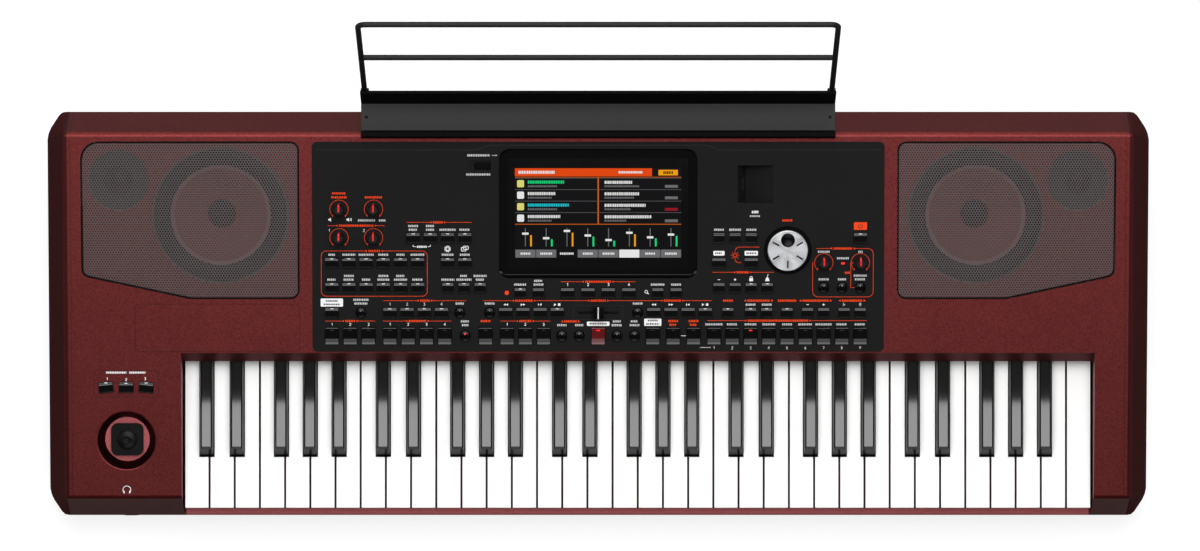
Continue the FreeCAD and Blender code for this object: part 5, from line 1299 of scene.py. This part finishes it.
def pointer(name, u, v, top):
    """Red strip over a knob's top and down its flank."""
    strip = Pile()
    half = 0.75
    run = [(-1.8, top), (KNOB_TOP_R - 0.6, top), (KNOB_TOP_R, top - 0.6),
           (KNOB_FLANK_R, top - KNOB_FLANK_DROP)]
    points = []
    for level in (-0.15, 0.15):
        for away, height in run:
            points += [spot(u - half, v + away + max(level, 0), height + level),
                       spot(u + half, v + away + max(level, 0), height + level)]
    n = 2 * len(run)
    faces = [[0, 1, n + 1, n], [n - 1, n - 2, 2 * n - 2, 2 * n - 1]]
    for i in range(0, n - 2, 2):
        faces += [[i + 1, i, i + 2, i + 3], [n + i, n + i + 1, n + i + 3, n + i + 2],
                  [i, n + i, n + i + 2, i + 2], [i + 1, i + 3, n + i + 3, n + i + 1]]
    strip.add(points, faces)
    strip.piece(name + "_pointer", POINTER_RED_PAINTED_GLOW, name, "knob_plastic")


for name, (u, v, top) in KNOBS.items():
    pointer(name, u, v, top)

# %% Dial strokes and fader line
strokes = Pile()
for angle in (30, 150, 210, 270, 330):
    ends = [arc(dial_u, dial_v, radius, angle, angle, 1)[0] for radius in (DIAL_R * 0.5, DIAL_R * 0.86)]
    strokes.stroke(ends, 1.5, DIAL_TOP - 0.05, DIAL_TOP + 0.06)
strokes.piece("value_dial_strokes", ink("dial_stroke_black", colour(14, 14, 14)), "value_dial", "dial_metal")

surround = Pile()
ring_in = disc(dial_u, dial_v, DIAL_R + 2.2, 48)
surround.stroke(ring_in, 3.4, 0, 0.12, True)
surround.piece("value_dial_surround", PIANO_BLACK, "case", "panel_plastic")

us, vs, ws = zip(*readings("crossfader_cap"))
cap_top = max(ws)
fader_v = (min(vs) + max(vs)) / 2
cap_rows = [v for u, v, w in readings("crossfader_cap") if w > cap_top - 0.1]
FADER_HALF = 22.6
FADER_H = 6.6
edging = Pile()
line(edging, round_box(-FADER_HALF, FADER_HALF, fader_v - FADER_H, fader_v + FADER_H, 1.5), 0.4, True)
edging.piece("crossfader_edging", ink("panel_edge_grey", colour(44, 44, 44)), "case", "panel_plastic")
fader_line = Pile()
stroke = round_box(-0.45, 0.45, min(cap_rows) + 0.5, max(cap_rows) - 0.5, 0.2)
fader_line.prism(stroke, cap_top - 2.05, cap_top - 1.9)
fader_line.piece("crossfader_white_line", WHITE_INK, "crossfader_cap", "knob_plastic")

# %% [markdown]
# ## Display
# The touch display shows a made-up mixer page: a header, sound slots with little level bars, a row
# of channel strips and tabs at the foot. Each colour is one mesh of thin plates on the glass, lit
# from behind. A fine grid of dark lines, worked out from the surface's place, makes the pixels.

# %% Display colours and layout
SCREEN = readings("display_screen")
GLASS_TOP = max(w for u, v, w in SCREEN)
GLASS_FRONT = min(v for u, v, w in SCREEN)
SCREEN_HALF = 77.3
SCREEN_FRONT = GLASS_FRONT + 10.8
SCREEN_REAR = SCREEN_FRONT + 83.2


def glow(name, base):
    """Backlit colour with the fine grid of the pixels."""
    paint = Paint(name)
    pitch = 0.35 * MM
    across = paint.node("Math", {"operation": "FRACT"}, {0: paint.along(0) / pitch})
    rows = paint.node("Math", {"operation": "FRACT"}, {0: paint.along(1) / pitch})
    dim = shade(base, 0.75)
    lit = paint.mix((across > 0.15) * (rows > 0.15), dim, base)
    return paint.surface({"Base Color": colour(4, 4, 4), "Roughness": 0.08, "Specular IOR Level": 0.2,
                          "Emission Color": lit, "Emission Strength": 0.95})


TONES = {"dark": (16, 16, 18), "flame": (232, 74, 10), "orange": (216, 98, 10), "amber": (250, 165, 10),
         "cyan": (30, 205, 220), "green": (20, 226, 130), "white": (240, 240, 240),
         "grey": (112, 112, 114), "yellow": (226, 222, 120), "red": (150, 22, 34)}
UI = {name: glow("screen_" + name, colour(*tone)) for name, tone in TONES.items()}
page = {name: Pile() for name in UI}
LAYER = 0.05


def block(ink_name, u0, u1, v0, v1, layer=1, radius=0.2):
    """Plate on the display; layers lie on each other."""
    base = GLASS_TOP + layer * LAYER
    page[ink_name].prism(round_box(u0, u1, v0, v1, radius, 1), base - LAYER * 0.9, base)


def caption(ink_name, u0, v, length, height=2.2):
    word(page[ink_name], u0 + length / 2, v, length, height, GLASS_TOP + 2 * LAYER - FILM * 0.5)


block("dark", -SCREEN_HALF, SCREEN_HALF, SCREEN_FRONT, SCREEN_REAR)
TAB_H = 7.4
HEADER_H = 8.0
STRIP_TOP = SCREEN_FRONT + TAB_H + 24
tab_w = 2 * SCREEN_HALF / 8
for k in range(8):
    u0 = -SCREEN_HALF + k * tab_w
    if k != 2:
        tone = "white" if k == 5 else "grey"
        block(tone, u0 + 0.3, u0 + tab_w - 0.3, SCREEN_FRONT, SCREEN_FRONT + TAB_H, 2)
    if k != 5:
        word(page["white"], u0 + tab_w / 2, SCREEN_FRONT + TAB_H / 2, 9 + k % 3 * 2, 2, GLASS_TOP + 3 * LAYER)
print("page of", SCREEN_HALF * 2, "by", SCREEN_REAR - SCREEN_FRONT, "mm")

# %% Header, sound slots and channel strips
header = SCREEN_REAR - HEADER_H
block("orange", -SCREEN_HALF, SCREEN_HALF, header - 0.5, header, 2)
block("flame", -SCREEN_HALF, 50, header + 0.6, SCREEN_REAR, 2)
word(page["white"], -57, header + 4.3, 34, 2.8, GLASS_TOP + 3 * LAYER)
word(page["white"], 30, header + 4.3, 22, 2.2, GLASS_TOP + 3 * LAYER)
block("amber", 56, 74, header + 1.4, header + 6.6, 2)
word(page["dark"], 65, header + 4, 9, 2.6, GLASS_TOP + 3 * LAYER)
slot_h = (header - STRIP_TOP - 1) / 4
SLOT_LINES = (("white", 30), ("cyan", 38), ("white", 26), ("green", 34))
for k, (tone, length) in enumerate(SLOT_LINES):
    base = STRIP_TOP + k * slot_h
    for left, right in ((-SCREEN_HALF, -1), (1, SCREEN_HALF)):
        block("grey", left, right, base + slot_h - 0.3, base + slot_h, 2)
    icon = -SCREEN_HALF + 2
    block("yellow" if k % 2 else "white", icon, icon + 6.5, base + 2, base + slot_h - 2, 2, 0.8)
    caption(tone, icon + 10, base + slot_h * 0.64, length, 2.8)
    caption("grey", icon + 10, base + slot_h * 0.28, 22 + 5 * (k % 2), 1.8)
    block("red" if k == 1 else "grey", 62, 74, base + 1.6, base + 4.2, 2)
    caption("white", 6, base + slot_h * 0.62, 44 - 6 * k, 2.8)
    caption("grey", 6, base + slot_h * 0.28, 20 + 4 * k, 1.8)
block("orange", -0.6, 0.6, STRIP_TOP, header, 2)
block("orange", -SCREEN_HALF, SCREEN_HALF, STRIP_TOP - 0.6, STRIP_TOP, 2)
LEVELS = (0.7, 0.45, 0.85, 0.6, 0.35, 0.75, 0.5, 0.65)
for k, level in enumerate(LEVELS):
    u = -SCREEN_HALF + (k + 0.5) * tab_w
    foot = SCREEN_FRONT + TAB_H + 3
    block("grey", u - 0.4, u + 0.4, foot, foot + 17, 2)
    block("white", u - 3, u + 3, foot + 17 * level - 1, foot + 17 * level + 1, 3, 0.3)
    block("green" if level < 0.7 else "amber", u + 4.4, u + 6, foot, foot + 15 * level, 2)
for tone, pile in page.items():
    pile.piece("display_page_" + tone, UI[tone], "display", "display_glass")

# %% [markdown]
# ## Small fittings
# Two small screws hold the music ledge from above and show as black dots. Across the back of the
# panel runs a fine moulded step that swings back where it passes behind the display; it is drawn
# only as a thin grey strip, a painted highlight of its edge.

# %% Ledge screws and panel step
tray = NODES["music_stand_tray"].data
ledge = max((face for face in tray.polygons if face.normal.z > 0.9), key=lambda face: face.area)
ledge_corners = [tray.vertices[i].co for i in ledge.vertices]
ledge_y = (min(p.y for p in ledge_corners) + max(p.y for p in ledge_corners)) / 2
ledge_z = max(p.z for p in ledge_corners)
SCREW_U = 215.0
SCREW_R = 1.5
screws = Pile()
for side in (-1, 1):
    head = disc(side * SCREW_U, ledge_y / MM, SCREW_R, 12)
    n = len(head)
    corners = [Vector((x * MM, y * MM, ledge_z + rise * MM)) for rise in (-0.2, 0.15) for x, y in head]
    walls = [[i, (i + 1) % n, n + (i + 1) % n, n + i] for i in range(n)]
    screws.add(corners, [list(reversed(range(n))), list(range(n, 2 * n))] + walls)
screws.piece("music_ledge_screws", ink("screw_black_oxide", colour(5, 5, 5)), "music_stand", "stand_plastic")

STEP_V = 188.2
STEP_BACK = 4.5
swing = [(262.5, 0), (116, 0), (110, 0.22), (104.5, 0.78), (98.5, 1)]
step_highlight_path = [(-u, STEP_V + STEP_BACK * share) for u, share in swing]
step_highlight_path += [(u, STEP_V + STEP_BACK * share) for u, share in reversed(swing)]
# Grey strip: painted highlight on the edge of the moulded step.
step = Pile()
step.stroke(step_highlight_path, 0.5, 0, 0.2)
step.piece("panel_rear_step", ink("panel_step_grey", colour(44, 44, 44)), "case", "panel_plastic")

# %% [markdown]
# ## Floor, light and camera
# The photograph looks straight down in a bright studio. Seen like this, every flat face mirrors one
# small zone of the ceiling, so the lamps are placed by what should mirror them. One large box behind
# the vertical lights the keys and the metallic paint, a low one behind it draws the rear slopes of
# the buttons, a strip above the keys makes the grey sheen on the black ones, and the zone that the
# display mirrors stays dark. Two boxes before the player draw the front slopes of the large buttons,
# the upper one more faintly. Low boxes behind and at both sides are there for other views, so that
# the upright walls aren't black. Floor and surroundings look white to the camera only.

# %% Floor and surroundings
NOTHING = (0.0, 0.0, 0.0, 1.0)


def floor_paint(lift):
    """Pale floor that looks lighter by an amount to the camera."""
    paint = Paint("studio_floor")
    seen = paint.node("LightPath", {}, {}, "Is Camera Ray")
    pale = paint.mix(paint.noise(400), colour(150, 150, 150), colour(153, 153, 153))
    return paint.surface({"Base Color": pale, "Roughness": 0.9, "Specular IOR Level": 0.0,
                          "Emission Color": paint.mix(seen, NOTHING, (lift, lift, lift, 1.0)),
                          "Emission Strength": 1.0})


FLOOR_HALF = 30.0
FLOOR_LEVEL = -0.0002
corners = [(x * FLOOR_HALF, y * FLOOR_HALF, FLOOR_LEVEL) for x, y in ((-1, -1), (1, -1), (1, 1), (-1, 1))]
floor_mesh = bpy.data.meshes.new("floor")
floor_mesh.from_pydata(corners, [], [(0, 1, 2, 3)])
floor_mesh.materials.append(floor_paint(0.78))
floor = bpy.data.objects.new("floor", floor_mesh)
bpy.context.scene.collection.objects.link(floor)
sky = Paint("studio", bpy.data.worlds.new("studio"))
SKY_GREY = (0.06, 0.06, 0.06, 1.0)
SKY_SEEN = (1.0, 1.0, 1.0, 1.0)
sky_seen = sky.node("LightPath", {}, {}, "Is Camera Ray")
sky.feed(sky.tree.nodes["Background"], {"Color": sky.mix(sky_seen, SKY_GREY, SKY_SEEN)})
bpy.context.scene.world = sky.material
print("floor of", 2 * FLOOR_HALF, "m")


# %% Soft boxes
def soft_box(name, place, width, depth, power):
    light = bpy.data.lights.new(name, "AREA")
    light.shape = "RECTANGLE"
    light.size = width
    light.size_y = depth
    light.energy = power
    lamp_object = bpy.data.objects.new(name, light)
    lamp_object.location = place
    lamp_object.rotation_euler = Vector(place).to_track_quat("Z", "Y").to_euler()
    bpy.context.scene.collection.objects.link(lamp_object)
    print(name, power, "W")


soft_box("box_above", (0, 1.07, 3.0), 3.0, 2.0, 92)
soft_box("box_rear", (0, 2.3, 2.4), 2.4, 0.6, 12)
soft_box("box_front", (0, -2.65, 2.0), 2.6, 0.7, 19)
soft_box("box_front_upper", (0, -2.1, 2.55), 2.6, 0.7, 9)
soft_box("strip_keys", (0, -0.227, 3.0), 2.6, 0.1, 5.9)
soft_box("box_back_low", (0, 4.2, 1.1), 3.4, 1.8, 60)
for side in (-1, 1):
    soft_box("box_side_low", (side * 3.8, 0.4, 1.2), 2.0, 1.6, 26)

# %% Camera at the photograph's angle
lens = bpy.data.cameras.new("camera")
lens.lens = 189.8
lens.clip_end = 100
camera = bpy.data.objects.new("camera", lens)
camera.location = (0.0017, -0.0011, 6.0)
bpy.context.scene.collection.objects.link(camera)
bpy.context.scene.camera = camera
bpy.context.scene.view_settings.view_transform = "Standard"
